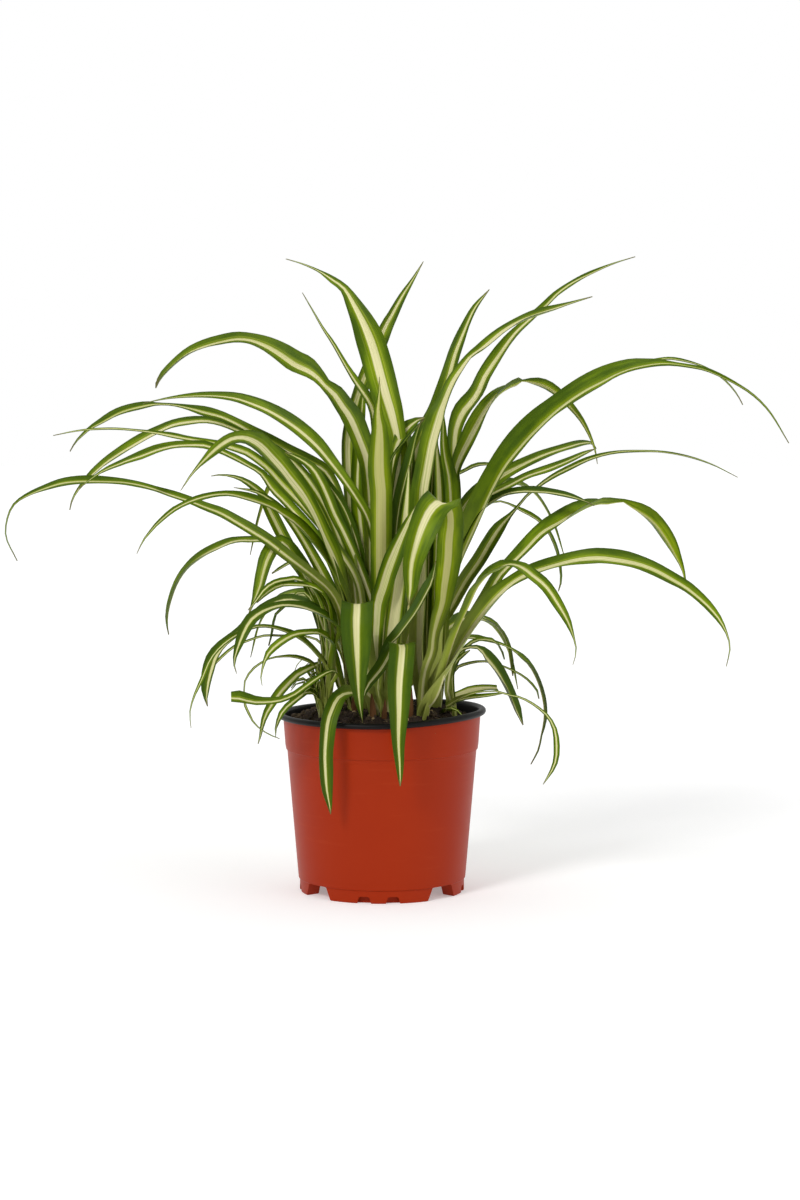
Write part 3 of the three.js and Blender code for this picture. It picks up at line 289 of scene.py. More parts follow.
        [115.6, 247.4, -30, 3.4], [120.5, 245.8, -32, 2.6], [126, 243.8, -34, 1.2],
        [132, 240.6, -36, 0.4]]],
    "right_curl": ["crown_right_back", 5, 30, [[38, 190, 22, 3], [55, 230, 28, 2.5], [66, 241.5, 28, 1.2],
        [73.5, 243.5, 28, 1], [79, 242, 28, 1], [85.4, 238.9, 27, 1.8], [90.4, 236.6, 26, 3.2],
        [95, 234, 25, 3.8], [99.5, 230.5, 24, 3.7], [103.5, 225.5, 23, 3.4], [106.8, 219, 22, 2.8],
        [109.2, 212.5, 21, 2], [110.9, 204, 21, 1.6], [111.7, 196.5, 20, 1.2], [111.2, 191, 20, 0.8],
        [110, 187.3, 20, 0.3]]],
    "right_thread": ["crown_right_back", 4, 30, [[30, 200, 24, 2], [31, 250, 38, 1], [36, 255.5, 40, 1.2],
        [41, 259.5, 42, 1.4], [46, 260.3, 44, 2], [52, 263, 46, 2.2], [58, 266, 50, 2.5],
        [64, 266.8, 53, 2], [70, 266.3, 57, 1.4], [77, 264.8, 61, 0.6]]],
    "fold_front": ["crown_right", 19, 14, [[27, 137, -39, 6], [31.5, 150, -42, 6.4], [32.5, 160, -43, 6.5],
        [35, 170, -45, 9], [38, 180, -47, 11], [39.3, 190, -49, 13.2], [40.8, 200, -51, 14.5],
        [42, 210, -53, 15.4], [42.5, 220, -55, 15.5], [43.5, 230, -58, 14], [42.5, 240, -64, 14],
        [38, 245, -70, 16], [32, 240, -77, 18.5], [27.3, 230.3, -82, 18], [22.3, 216, -86, 14.7],
        [19.4, 205, -88, 12.2], [18.4, 194, -88, 9.5], [18, 187, -88, 5.9], [17, 182, -88, 2.5],
        [16.7, 178.5, -88, 0.3]], {"facing": 4}],
    "right_long": ["crown_right", 15, 45, [[30, 122, -38, 6], [40, 143, -43, 8], [50, 160, -49, 8.5],
        [60, 174.5, -54, 8.5], [70, 186, -59, 8], [80, 193.6, -63, 6.5], [90, 199.3, -68, 7],
        [100, 203.5, -73, 6.8], [110, 206.4, -77, 7], [120, 208.3, -81, 8], [131, 209.5, -85, 9.2],
        [138, 209.6, -88, 9.1], [150, 208.2, -93, 9], [160, 205.5, -97, 8], [170, 201.3, -100, 7.8],
        [180, 196, -103, 7.5], [190, 190.4, -105, 6.6], [200, 182, -108, 5.2], [206, 175.5, -109, 4.4],
        [211, 168.8, -110, 3.2], [215, 161, -111, 1.4], [217.2, 152.4, -111, 0.8],
        [215, 140.3, -111, 0.3]]],
    "right_bow": ["crown_right", 14, 42, [[28, 122, -34, 6], [38, 140, -34, 7], [50, 160, -34, 7.5],
        [64, 183, -33, 7.5], [72, 197, -32, 7], [79, 205, -30, 7], [88, 214.5, -27, 7.8],
        [97.5, 224.3, -23, 8.2], [107.5, 232, -19, 9.3], [118, 238.5, -15, 9.4], [126, 242, -13, 9],
        [133, 243.5, -11, 8], [138, 243.6, -10, 5.4], [144, 243.8, -9, 3], [150, 244, -8, 1.4],
        [154, 242.4, -7.5, 3], [160, 239.8, -7, 5.5], [166, 236, -6, 8], [171.5, 230.5, -5.5, 8.2],
        [176.5, 223.5, -5, 7.5], [181, 216, -4.5, 6], [184.5, 208.5, -4, 4], [187.5, 201, -4, 2.1],
        [189.8, 189.5, -4, 0.4]], {"twist": -75}],
    "right_over": ["crown_right", 10, 40, [[32, 122, -40, 5], [43, 157, -55, 5.5], [52, 178, -68, 5.5],
        [56.5, 188, -77, 5.5], [61, 194.5, -86, 6.5], [66, 199.8, -97, 6.3], [72, 203.3, -106, 5],
        [78, 205, -116, 3.2], [84, 204.2, -125, 3.8], [89, 201.8, -132, 6], [94, 197.8, -139, 6.8],
        [100, 193, -146, 7], [104.5, 187.8, -151, 6.6], [108.5, 181.5, -155, 6.4], [112, 175.8, -159, 5.6],
        [115.5, 169.5, -161, 4.4], [118, 163.3, -164, 2.6], [119.8, 158, -165, 1.2],
        [121.3, 150, -167, 0.7], [119.2, 141.2, -168, 0.3]]],
    "hang_left": ["crown_front", 20, 0, [[-6, 125, -37, 11], [-12, 150, -44, 15], [-15.3, 170, -51, 18],
        [-15.6, 179, -59, 18.6], [-15.4, 178, -66, 18.7], [-15.9, 170, -72, 19.2], [-15.9, 160, -74, 18],
        [-15.6, 150, -74, 15.9], [-15.3, 140, -72, 12.4], [-15, 130, -68, 9.1], [-14.4, 120, -63, 5.6],
        [-12.9, 110, -56, 1.9], [-11.9, 104.8, -54, 0.3]], {"facing": 0}],
    "lean_front": ["crown_front", 13, 8, [[-3, 130, -34, 7], [-4, 150, -33, 8], [-3, 170, -32, 9],
        [-2.2, 180, -31, 10.2], [1, 190, -30.5, 10.8], [4, 200, -30, 11], [7.8, 210, -29.5, 11],
        [11.9, 220, -29, 8.6], [15.5, 228, -28, 6.5], [19, 236, -28, 3], [21.5, 241, -27, 0.5]],
        {"facing": 0}],
    "hang_centre": ["crown_front", 16, 0, [[6, 125, -39, 10], [9.5, 143, -49, 13], [12.5, 154, -62, 15.2],
        [12.4, 148, -73, 15.2], [11.8, 140, -77, 15.2], [11.1, 130, -78, 14.6], [10.8, 120, -78, 13.3],
        [10.7, 110, -78, 11.4], [10.4, 100, -78, 9.3], [10.4, 90, -77, 7.2], [11, 80, -76, 5.4],
        [11.4, 70, -75, 2.8], [11.4, 65, -75, 0.6]], {"facing": 0}],
    "hang_rim": ["crown_front", 12, 12, [[-9, 125, -42, 9], [-20, 125.5, -49, 8.5], [-25, 123, -54, 8.5],
        [-28.3, 119.5, -58, 9], [-30.3, 114.5, -62, 9.8], [-32.1, 110, -65, 9.6], [-33.3, 105, -68, 9.7],
        [-34.3, 95, -69, 9.2], [-35, 85, -69, 8.5], [-34.8, 75, -68, 8.2], [-34.4, 65, -67, 6.8],
        [-33.9, 60, -66, 5.5], [-33.1, 55, -65, 3.7], [-32.4, 50, -65, 1.8], [-32.2, 47.3, -64, 0.4]],
        {"facing": 10}],
    "pale_front": ["crown_front", 13, 0, [[4, 135, -32], [7, 165, -28], [11, 195, -24], [14, 225, -20],
        [16, 250, -17], [17, 266, -16]], {"facing": 0}],
    "dark_front": ["crown_front", 9, 25, [[-4, 128, -43, 4], [3, 154, -46, 4], [8, 160, -46, 6],
        [12.5, 166, -45, 6.8], [20, 176, -43, 7], [27, 189, -39, 6], [31, 197, -36, 3.3],
        [33.7, 206.4, -34, 0.4]]],
    "short_front": ["crown_front", 8, 0, [[5, 128, -38, 5], [9, 148, -44, 5], [8, 155, -50, 6],
        [4, 148.5, -54, 7], [-1, 140, -57, 7.5], [-6, 133.5, -59, 7], [-10, 127, -60, 4.5],
        [-11.6, 120, -60, 0.5]], {"facing": -25}],
    "low_rise": ["offset_left", 5, 40, [[-34, 150, -32, 3], [-37, 178, -38, 3], [-44, 191, -43, 3],
        [-53.4, 195.5, -50, 3], [-60, 194.7, -55, 3], [-65, 194, -59, 3], [-69.7, 191.5, -62, 3],
        [-73, 189, -65, 3], [-79.5, 180, -68, 1.5], [-83.5, 175.5, -70, 0.4]]],
    "low_arch": ["offset_left", 10, 40, [[-31, 150, -33, 3], [-27, 164, -37, 3], [-31, 170, -40, 3.6],
        [-38, 174.5, -45, 4], [-46, 178, -51, 4.2], [-54, 179.3, -57, 4], [-62, 179.3, -64, 4],
        [-70, 177.3, -70, 5], [-76, 174.5, -75, 6.5], [-82, 169.5, -80, 7.5], [-86, 162.5, -83, 7],
        [-89, 155, -85, 5.2], [-91.3, 148, -86, 3], [-92.3, 142, -86, 1.2], [-90.7, 135.7, -86, 0.3]]],
    "low_wide": ["offset_left", 12, 40, [[-31, 140, -32, 4], [-32, 165, -36, 3.5], [-36, 174.5, -36, 3.5],
        [-43, 178.5, -35, 4], [-50, 181.5, -33, 5], [-57, 183, -31, 5.5], [-64, 182, -29, 5],
        [-75, 176.5, -27, 5], [-83, 169, -25, 5], [-90, 162, -24, 5], [-96, 157.5, -23, 5],
        [-102, 152, -22, 6], [-106, 146, -22, 7], [-108.3, 139, -22, 7], [-109.8, 132, -22, 6],
        [-110.4, 125, -22, 4.5], [-110, 119, -22, 1.5], [-109, 115.2, -22, 0.3]]],
    "low_long": ["offset_left", 6, 40, [[-34, 128, -31, 3], [-34, 140, -36, 3.5], [-40, 148.5, -42, 3.8],
        [-45.5, 154.5, -47, 3.8], [-52, 159.5, -53, 3.5], [-60, 163, -59, 2.6], [-70, 165.5, -66, 2.1],
        [-78, 165.5, -71, 2.1], [-85, 163, -76, 2], [-92, 159.5, -80, 2.4], [-100, 153.5, -85, 2.4],
        [-107, 145, -90, 2.4], [-113, 131, -93, 2.2], [-117, 122.5, -95, 1.3], [-120, 112, -95, 0.7],
        [-119.4, 101.6, -95, 0.3]]],
    "low_thread": ["offset_left", 4, 40, [[-35, 140, -24, 1.4], [-38, 155, -18, 1.4], [-47, 159, -12, 1.3],
        [-62.7, 159.6, -7, 1.3], [-73.7, 159.6, -4, 1.3], [-85.4, 155.8, -2, 1.4], [-92, 153, -1, 1.6],
        [-100, 146.5, 0, 1.6], [-106, 140, 0, 1.2], [-113, 131, 0, 0.5]]],
    "low_hook": ["offset_left", 8, 40, [[-32, 145, -38, 3], [-31, 156, -43, 3], [-38, 161.8, -50, 3],
        [-46, 162, -57, 3.2], [-54, 160.8, -63, 4.2], [-61.5, 157, -69, 5], [-67.3, 152.5, -72, 5],
        [-71, 148.3, -75, 4], [-73, 144.5, -76, 2.4], [-74.8, 138, -77, 1.1], [-75.6, 132.5, -77, 0.7],
        [-74.8, 128.1, -77, 0.3]]],
    "low_ring": ["offset_left", 4, 40, [[-38, 133, -31, 2.2], [-42, 141.5, -36, 2.2], [-48, 145, -41, 2.3],
        [-55, 146.8, -45, 2.2], [-63, 146.6, -50, 1.5], [-70.5, 145.2, -54, 1], [-77, 141.6, -56, 1.3],
        [-80.3, 139, -58, 1.3], [-83.6, 135, -59, 1.2], [-85.6, 131, -60, 1], [-86.1, 125, -60, 0.9],
        [-85.7, 116.7, -60, 1.6], [-83.5, 111.4, -60, 1.6], [-80.5, 105.5, -59, 1.1],
        [-75.9, 100.9, -58, 0.8], [-70, 97.3, -57, 0.6], [-64.1, 94.9, -56, 0.3]]],
    "low_cut": ["offset_left", 9, 42, [[-33, 126, -33, 2], [-28, 136, -43, 1.6], [-32, 137.6, -53, 2],
        [-40, 133.5, -60, 3], [-50, 126.3, -66, 3.4], [-55, 122.8, -68, 3.5], [-63, 119.6, -71, 3.9],
        [-70, 118.8, -73, 4.6], [-77, 118.8, -75, 5.2], [-82, 119.6, -76, 6.4], [-86.3, 121.1, -77, 7.6],
        [-90.5, 121.5, -78, 8], [-94.3, 121.3, -78, 6]]],
    "low_leaf": ["offset_left", 9, 40, [[-36, 132, -31, 3], [-40, 141.3, -34, 3.2],
        [-46.5, 138.9, -37, 4.4], [-52.5, 136, -40, 5], [-58, 130.8, -43, 5.6], [-64, 124.2, -46, 5.8],
        [-69.5, 116, -48, 5], [-72.8, 110, -49, 3.8], [-74.8, 103.5, -50, 2.5], [-76, 97, -50, 1.4],
        [-77.5, 91.5, -50, 0.4]]],
    "low_curl": ["offset_left", 6, 40, [[-40, 122, -34, 3], [-47, 124.5, -43, 3.5], [-54, 119.5, -48, 4],
        [-59, 115.5, -51, 4], [-63, 110.5, -53, 3.6], [-65.3, 105, -54, 2.2], [-66.6, 100, -55, 1],
        [-66.5, 96, -55, 0.3]]],
    "low_strand": ["offset_left", 4, 35, [[-37, 150, -22, 1.8], [-44, 182, -14, 1.8], [-50, 187, -10, 1.8],
        [-57, 183, -8, 1.8], [-61, 177, -7, 1.8], [-64.8, 175.5, -7, 1.8], [-67.5, 168.8, -7, 1.6],
        [-68.9, 160, -7, 1], [-70.7, 153.3, -7, 0.5]]],
    "back_left": ["crown_back", 16, 30, [[-4, 150, 52], [-22, 205, 84], [-40, 248, 112], [-56, 262, 134],
        [-68, 256, 150], [-76, 236, 160], [-82, 210, 165]]],
    "back_far": ["crown_back", 17, 25, [[4, 160, 56], [4, 215, 92], [2, 256, 124], [-2, 268, 146],
        [-6, 258, 160], [-10, 236, 168]]],
    "back_right": ["crown_back", 15, 30, [[14, 150, 50], [36, 205, 78], [58, 244, 106], [78, 256, 128],
        [94, 250, 146], [106, 232, 158], [114, 208, 164]]],
    "back_low_left": ["crown_back", 13, 35, [[-6, 135, 50], [-26, 168, 76], [-46, 186, 104],
        [-64, 184, 130], [-76, 168, 148], [-82, 146, 158]]],
    "back_low": ["crown_back", 14, 20, [[6, 135, 56], [10, 172, 86], [14, 190, 118], [17, 182, 145],
        [19, 160, 160], [20, 136, 167]]],
    "back_low_right": ["crown_back", 12, 35, [[18, 132, 46], [36, 160, 68], [54, 172, 94], [70, 166, 118],
        [80, 148, 134], [85, 126, 142]]],
    "back_tall": ["crown_back", 17, 20, [[8, 180, 48], [12, 235, 64], [14, 268, 84], [15, 285, 106],
        [14, 288, 126], [12, 278, 142]]],
    "side_wide": ["offset_right", 11, 45, [[41, 125, -12, 4], [44, 143, -8, 4], [48, 150, -4, 3.2],
        [55, 152.6, 0, 2.4], [61, 152, 2, 3.2], [66, 147.5, 4, 6], [71, 142, 6, 6.8], [75.5, 135, 8, 7],
        [79.3, 127.5, 9, 7], [82.6, 119.8, 9, 6], [85.2, 113, 9, 4.4], [87, 107.5, 9, 2],
        [88.3, 103.4, 9, 0.4]]],
    "side_wave": ["offset_right", 7, 42, [[42, 125, -8, 3], [46, 148, 3, 3], [51, 157.5, 9, 2.6],
        [54, 158.8, 11, 2.8], [60, 158.5, 16, 3.5], [68, 156.5, 21, 2], [76, 154, 25, 1.2],
        [81, 151.5, 27, 1.2], [86, 148, 29, 2.4], [92, 142.5, 32, 4.2], [96, 136, 33, 4],
        [99, 129, 34, 2.6], [101.3, 121, 34, 2.8], [102.4, 112, 34, 2.8], [101.7, 104, 34, 2],
        [100, 97.5, 33, 1], [98, 88, 32, 0.8], [93.2, 78.6, 31, 0.3]]],
    "side_bow": ["offset_right", 6, 40, [[42, 128, -4, 3], [46, 152, 9, 3], [52, 166, 18, 2.6],
        [61, 172, 28, 1], [66, 170.2, 31, 2.2], [71.3, 167, 34, 3.4], [76, 161, 37, 3.6],
        [79, 154.5, 39, 3.2], [80.4, 148, 40, 2.8], [81.3, 141.5, 40, 2.2], [81.8, 134.3, 40, 0.3]]],
    "side_tip": ["offset_right", 4, 40, [[43, 130, -4, 2.5], [51, 151, 6, 2.5], [59, 157, 12, 2.5],
        [66, 157.5, 15, 2.5], [71, 156, 18, 2], [74.5, 151, 19, 2.2], [76.5, 144.8, 20, 0.5]]],
    "side_thread": ["offset_right", 4, 40, [[41, 125, -6, 2], [43, 134, 2, 2], [46.5, 139.3, 6, 2],
        [50, 141.2, 10, 2], [56, 142.8, 14, 1.8], [62, 143.6, 17, 1.5], [68, 143, 19, 1.2],
        [78, 139.5, 22, 0.9], [84, 136.8, 24, 1], [90, 133, 25, 1.2], [95, 128, 26, 1.3],
        [98.2, 122.5, 27, 0.8], [98.2, 120, 27, 0.4]]],
    "side_hang": ["offset_right", 7, 42, [[40, 115, -20, 3], [46, 119.5, -23, 2.5], [52, 122, -30, 1.5],
        [59, 124, -38, 1], [66, 124.6, -45, 0.7], [72, 124.8, -49, 1.2], [78, 122.8, -53, 1.3],
        [86, 121, -57, 1.2], [92.4, 118, -60, 1.3], [98, 114.2, -62, 1.5], [103, 109.8, -64, 2],
        [106.8, 104, -65, 2.6], [108.6, 98.5, -66, 3.2], [109.2, 93, -67, 3.8], [109.4, 87, -67, 3.8],
        [108.9, 81.5, -67, 3.4], [107, 76, -66, 2.6], [104.3, 71.3, -66, 1.5], [100.9, 66, -65, 0.3]]],
    "side_cut": ["offset_right", 8, 45, [[41, 117, -12, 4], [44, 121, -10, 4], [48, 123, -8, 3.8],
        [54, 125.4, -5, 4.6], [60, 126.7, -2, 4.4], [66, 127.3, 1, 3.6], [72, 127, 4, 3.2]]],
    "side_low": ["offset_right", 5, 40, [[40, 115, -17, 4], [48, 120, -20, 3.5], [55, 121.3, -22, 3],
        [63, 122, -26, 2.4], [70, 122.8, -30, 1.8], [75.5, 123.4, -33, 0.5]]],
    "side_pale": ["offset_right", 4, 20, [[39, 112, -22, 1.2], [40.4, 114.3, -27, 1.6],
        [43.6, 114.3, -30, 1.6], [47.6, 112.3, -33, 1.2], [50.6, 109.1, -35, 0.4]]],
    "side_dark": ["offset_right", 4, 30, [[44, 130, -8, 2.5], [45, 141, -6, 2.5], [51.5, 148.5, -3, 2.5],
        [55, 150.5, -2, 0.5]]],
    "left_inner": ["crown_left", 10, 48, [[-20, 150, 6], [-32, 188, 12], [-43, 210, 16], [-54, 228, 20],
        [-65, 241, 22], [-77, 249, 24], [-92, 252, 26]]],
    "left_core": ["crown_left", 12, 48, [[-6, 178, 0, 6], [-9.5, 190, 3, 7], [-14, 202, 6, 7],
        [-18.5, 213, 8, 7], [-24, 225, 12, 7], [-29.5, 236, 15, 7.5], [-33.5, 246, 18, 8],
        [-38, 256, 20, 7.5], [-43.5, 264.5, 24, 6], [-52, 270.5, 28, 3], [-60, 274, 30, 0.4]]],
    "top_twig": ["crown_centre", 4, 35, [[1, 240, 4, 1.8], [5.5, 269, 9, 1.8], [14, 281, 12, 1.8],
        [20, 288, 14, 1.6], [26, 294, 16, 0.5]]],
    "centre_dark": ["crown_centre", 9, 35, [[6, 215, 0, 6], [9, 240, 1, 7], [13, 258, 2, 6.5],
        [17, 272, 4, 5], [20.5, 284, 5, 3], [24, 292, 6, 0.5]]],
    "pale_back": ["crown_right_back", 8, 0, [[34, 180, 0, 6], [36, 240, 1, 6.5], [35.5, 258, 2, 6],
        [34.5, 272, 2, 3.5], [33.8, 283, 2, 0.6]], {"facing": 10}],
    "left_dark": ["crown_left", 9, 48, [[-10, 185, 8, 6], [-14, 212, 12, 6], [-19, 228, 15, 6],
        [-24, 240, 18, 6], [-31, 251, 22, 5], [-38, 260, 25, 4], [-46, 267, 28, 2], [-52, 270.5, 30, 0.4]]],
    "low_rise_twin": ["offset_left", 5, 40, [[-31, 150, -34, 3], [-31.5, 172, -38, 3], [-33, 180, -40, 3],
        [-36, 186, -42, 3], [-40, 189.5, -44, 3], [-45, 191.5, -47, 3], [-52, 192, -52, 3],
        [-60, 192, -57, 3], [-65, 190.8, -60, 3], [-69.7, 188, -63, 3], [-73, 185.5, -65, 2.6],
        [-78, 180, -67, 0.5]]],
    "centre_fill": ["crown_centre", 11, 30, [[-8, 180, 14, 8], [-12, 210, 18, 9], [-14, 230, 20, 9],
        [-15.5, 250, 24, 8], [-15, 270, 28, 7], [-13.5, 290, 32, 6], [-12, 305, 36, 4],
        [-11, 316, 40, 0.4]]],
    "centre_fill_right": ["crown_centre", 10, 30, [[10, 180, 12, 8], [13, 220, 14, 8], [16.5, 250, 15, 7],
        [18, 268, 16, 5], [20, 282, 17, 0.4]]],
    "right_fill": ["crown_right_back", 9, 20, [[27, 150, 2, 7], [28, 190, 4, 7], [29, 230, 5, 7],
        [31, 260, 6, 6], [33, 280, 7, 4], [34, 292, 8, 0.4]]],
    "left_foot": ["crown_left", 8, 40, [[-24, 124, -14, 5], [-27, 134, -12, 6], [-30, 147, -10, 6],
        [-35, 162, -8, 5], [-41, 178, -6, 4], [-48, 193, -4, 0.5]]],
}

# The tuft of young leaves low in the left offset: angles in degrees, reach and rise in millimetres.
TUFT = {"crown": "offset_left", "count": 16, "width": 2.6, "spread": (140, 265), "reach": (8, 24),
        "rise": (14, 38)}

# Share of a leaf's half width that is cream, where it isn't one of the usual shares.
STRIPES = {
    "centre_tall": 0.46, "right_strong": 0.42, "top_left": 0.3, "left_top": 0.16, "right_big": 0.08,
    "hang_left": 0.2, "hang_centre": 0.24, "hang_rim": 0.2, "fold_front": 0.27, "left_high": 0.18,
    "right_dark": 0.14, "dark_front": 0.14, "left_wide": 0.34, "top_wave": 0.26, "top_lean": 0.3,
    "top_right_slim": 0.3, "pale_front": 0.6, "lean_front": 0.4, "right_twist": 0.3, "pale_back": 0.5,
    "top_twig": 0.02, "centre_dark": 0.08, "left_dark": 0.1, "side_cut": 0.6, "far_left": 0.16,
    "centre_fill_right": 0.1, "right_fill": 0.1, "centre_fill": 0.2,
}
USUAL_STRIPE = (0.17, 0.29)

# Leaves of a deeper green than the rest, partly their own green and partly painted shade where they lie
# among the other leaves, and the value that makes them so. The others draw one below 1.
DARK_LEAVES = [
    "hang_left", "hang_centre", "hang_rim", "short_front", "dark_front", "centre_dark", "left_dark",
    "right_slim", "top_twig", "low_arch", "low_wide", "side_wide", "centre_fill_right", "right_fill",
]
DARK_TINT_AND_SHADE = 1.5

# Dry sheaths at the feet of the crowns: [crown, width, facing, [[across, up, depth], ...]].
SHEATHS = [
    ["crown_right", 4, 8, [[18, 106, -38], [18, 113, -39.5], [18.2, 121, -40], [18.4, 129, -39]]],
    ["crown_front", 5, -10, [[-5, 105, -41], [-5.5, 111, -42], [-6, 117, -42], [-6.5, 124, -41]]],
    ["crown_front", 4, 10, [[1, 104, -43], [1.4, 109, -44], [1.8, 114, -44], [2, 120, -43]]],
    ["crown_left", 5, -20, [[-17, 106, -19], [-17.5, 112, -21], [-18, 117, -22], [-18, 121, -22]]],
    ["crown_centre", 8, -10, [[-4, 110, 1], [-6, 119, -1], [-9, 127, -2], [-12, 134, -1]]],
    ["crown_back", 8, 180, [[8, 110, 41], [10, 119, 44], [12, 127, 46], [13, 134, 46]]],
]

# Blades: the usual fold of each half in degrees, the least width, the distance between rings, and the
# length that, times a bend's curvature, says how far the bend opens the fold. A blade under NARROW has
# fewer columns, and the taper makes it NARROW_GAIN wider. A seen width can make a blade GROWTH times its
# own width. Where a blade still has CUT_WIDTH at its tip, it is a cut one: it is marked to CUT_SHARE of
# the way only, and so keeps its green.
FOLD = 30
TIP_WIDTH = 0.3
RING_STEP = 5.0
BENT_FLAT = 9.0
NARROW = 12.5
NARROW_GAIN = 1.1
GROWTH = 1.25
CUT_WIDTH = 2
CUT_SHARE = 0.96

# A margin's wave: its height as a share of the width, and its length.
WAVE_HEIGHT = (0.015, 0.05)
WAVE_LENGTH = (38, 75)

# A blade's half thickness at its keel, what its margins have less, and the share that its root has more.
# KEEL rounds the keel.
SKIN = 0.26
MARGIN_LESS = 0.12
ROOT_MORE = 1.6
KEEL = 0.04


def smoothstep(t, low, high):
    """Nought below low and one above high, with the cubic 3x^2 - 2x^3 between them."""
    x = np.clip((t - low) / (high - low), 0, 1)
    return x * x * (3 - 2 * x)


def unit(vectors):
    """Each row divided by its own length."""
    return vectors / np.maximum(np.linalg.norm(vectors, axis=-1, keepdims=True), 1e-12)


def dot(a, b):
    """The row by row dot product, kept as a column."""
    return (a * b).sum(-1, keepdims=True)


def sighted(spots):
    """Points read in the plane of the pot's axis, scaled away from EYE so that they lie at their depth in
    Y. A fourth column, the seen width, is passed on as it is."""
    across, up, depth, *seen = np.array(spots, float).T
    t = 1 + depth / -EYE[1]
    return np.column_stack([EYE[0] + (across - EYE[0]) * t, depth, EYE[2] + (up - EYE[2]) * t, *seen])


def smooth_line(points, per_span=24):
    """A centripetal Catmull-Rom line: each span is a cubic whose end slopes come from the neighbouring
    points, weighed by the square roots of the distances between them. A fourth column, the seen width,
    runs along."""
    p = np.vstack([2 * points[0] - points[1], points, 2 * points[-1] - points[-2]])
    gap = np.maximum(np.linalg.norm(np.diff(p[:, :3], axis=0), axis=1), 1e-9)[:, None] ** 0.5
    a, b, c = gap[:-2], gap[1:-1], gap[2:]
    p0, p1, p2, p3 = p[:-3], p[1:-2], p[2:-1], p[3:]
    out = b * ((p1 - p0) / a - (p2 - p0) / (a + b)) + (p2 - p1)
    into = b * ((p3 - p2) / c - (p3 - p1) / (b + c)) + (p2 - p1)
    s = np.linspace(0, 1, per_span, endpoint=False)[:, None, None]
    line = p1 + s * out + s ** 2 * (3 * (p2 - p1) - 2 * out - into) + s ** 3 * (2 * (p1 - p2) + out + into)
    return np.vstack([line.transpose(1, 0, 2).reshape(-1, points.shape[1]), points[-1]])


def even_line(points, step):
    """The smooth line through the points, read again at equal distances along it, and those distances."""
    line = smooth_line(np.array(points, float))
    run = np.concatenate([[0], np.cumsum(np.linalg.norm(np.diff(line[:, :3], axis=0), axis=1))])
    stops = np.linspace(0, run[-1], max(8, int(run[-1] / step)) + 1)
    return np.column_stack([np.interp(stops, run, column) for column in line.T]), stops


def taper(t, late):
    """Share of the full width: from 0.6 at the root up to 1 by 0.42 of the length, times
    (1 - t^late)^0.85, which brings it to nought at the tip."""
    return (0.6 + 0.4 * smoothstep(t, 0, 0.42)) * np.maximum(0, 1 - t ** late) ** 0.85


def leaf_axes(line, run, roll, facing, twist):
    """The ways along a leaf's line, across it, and out of its upper face. Across is level, square to the
    leaf's heading or as facing says, and made square to the line. The upper face is the one that looks up
    and inwards. Roll, which sets in over the first fifth, and twist turn both about the line."""
    t = run / run[-1]
    along = unit(np.gradient(line, run, axis=0))
    heading = unit(np.append(line[-1, :2] - line[0, :2], 0))
    across = np.array([heading[1], -heading[0], 0])
    if facing is not None:
        across = np.array([math.cos(math.radians(facing)), math.sin(math.radians(facing)), 0])
    elif across[1] > 0.2 or (across[1] > -0.2 and across[0] < 0):
        across = -across
    side = unit(across - along * dot(along, across))
    normal = np.cross(side, along)
    inward = heading * -along[:, 2:] + np.array([0, 0, 1]) * dot(along, heading)
    normal = normal * np.sign(dot(normal, inward).sum() or 1)
    turn = np.radians(roll * smoothstep(t, 0, 0.2) + twist * smoothstep(t, 0.45, 0.85))[:, None]
    return along, side * np.cos(turn) - normal * np.sin(turn), normal * np.cos(turn) + side * np.sin(turn)


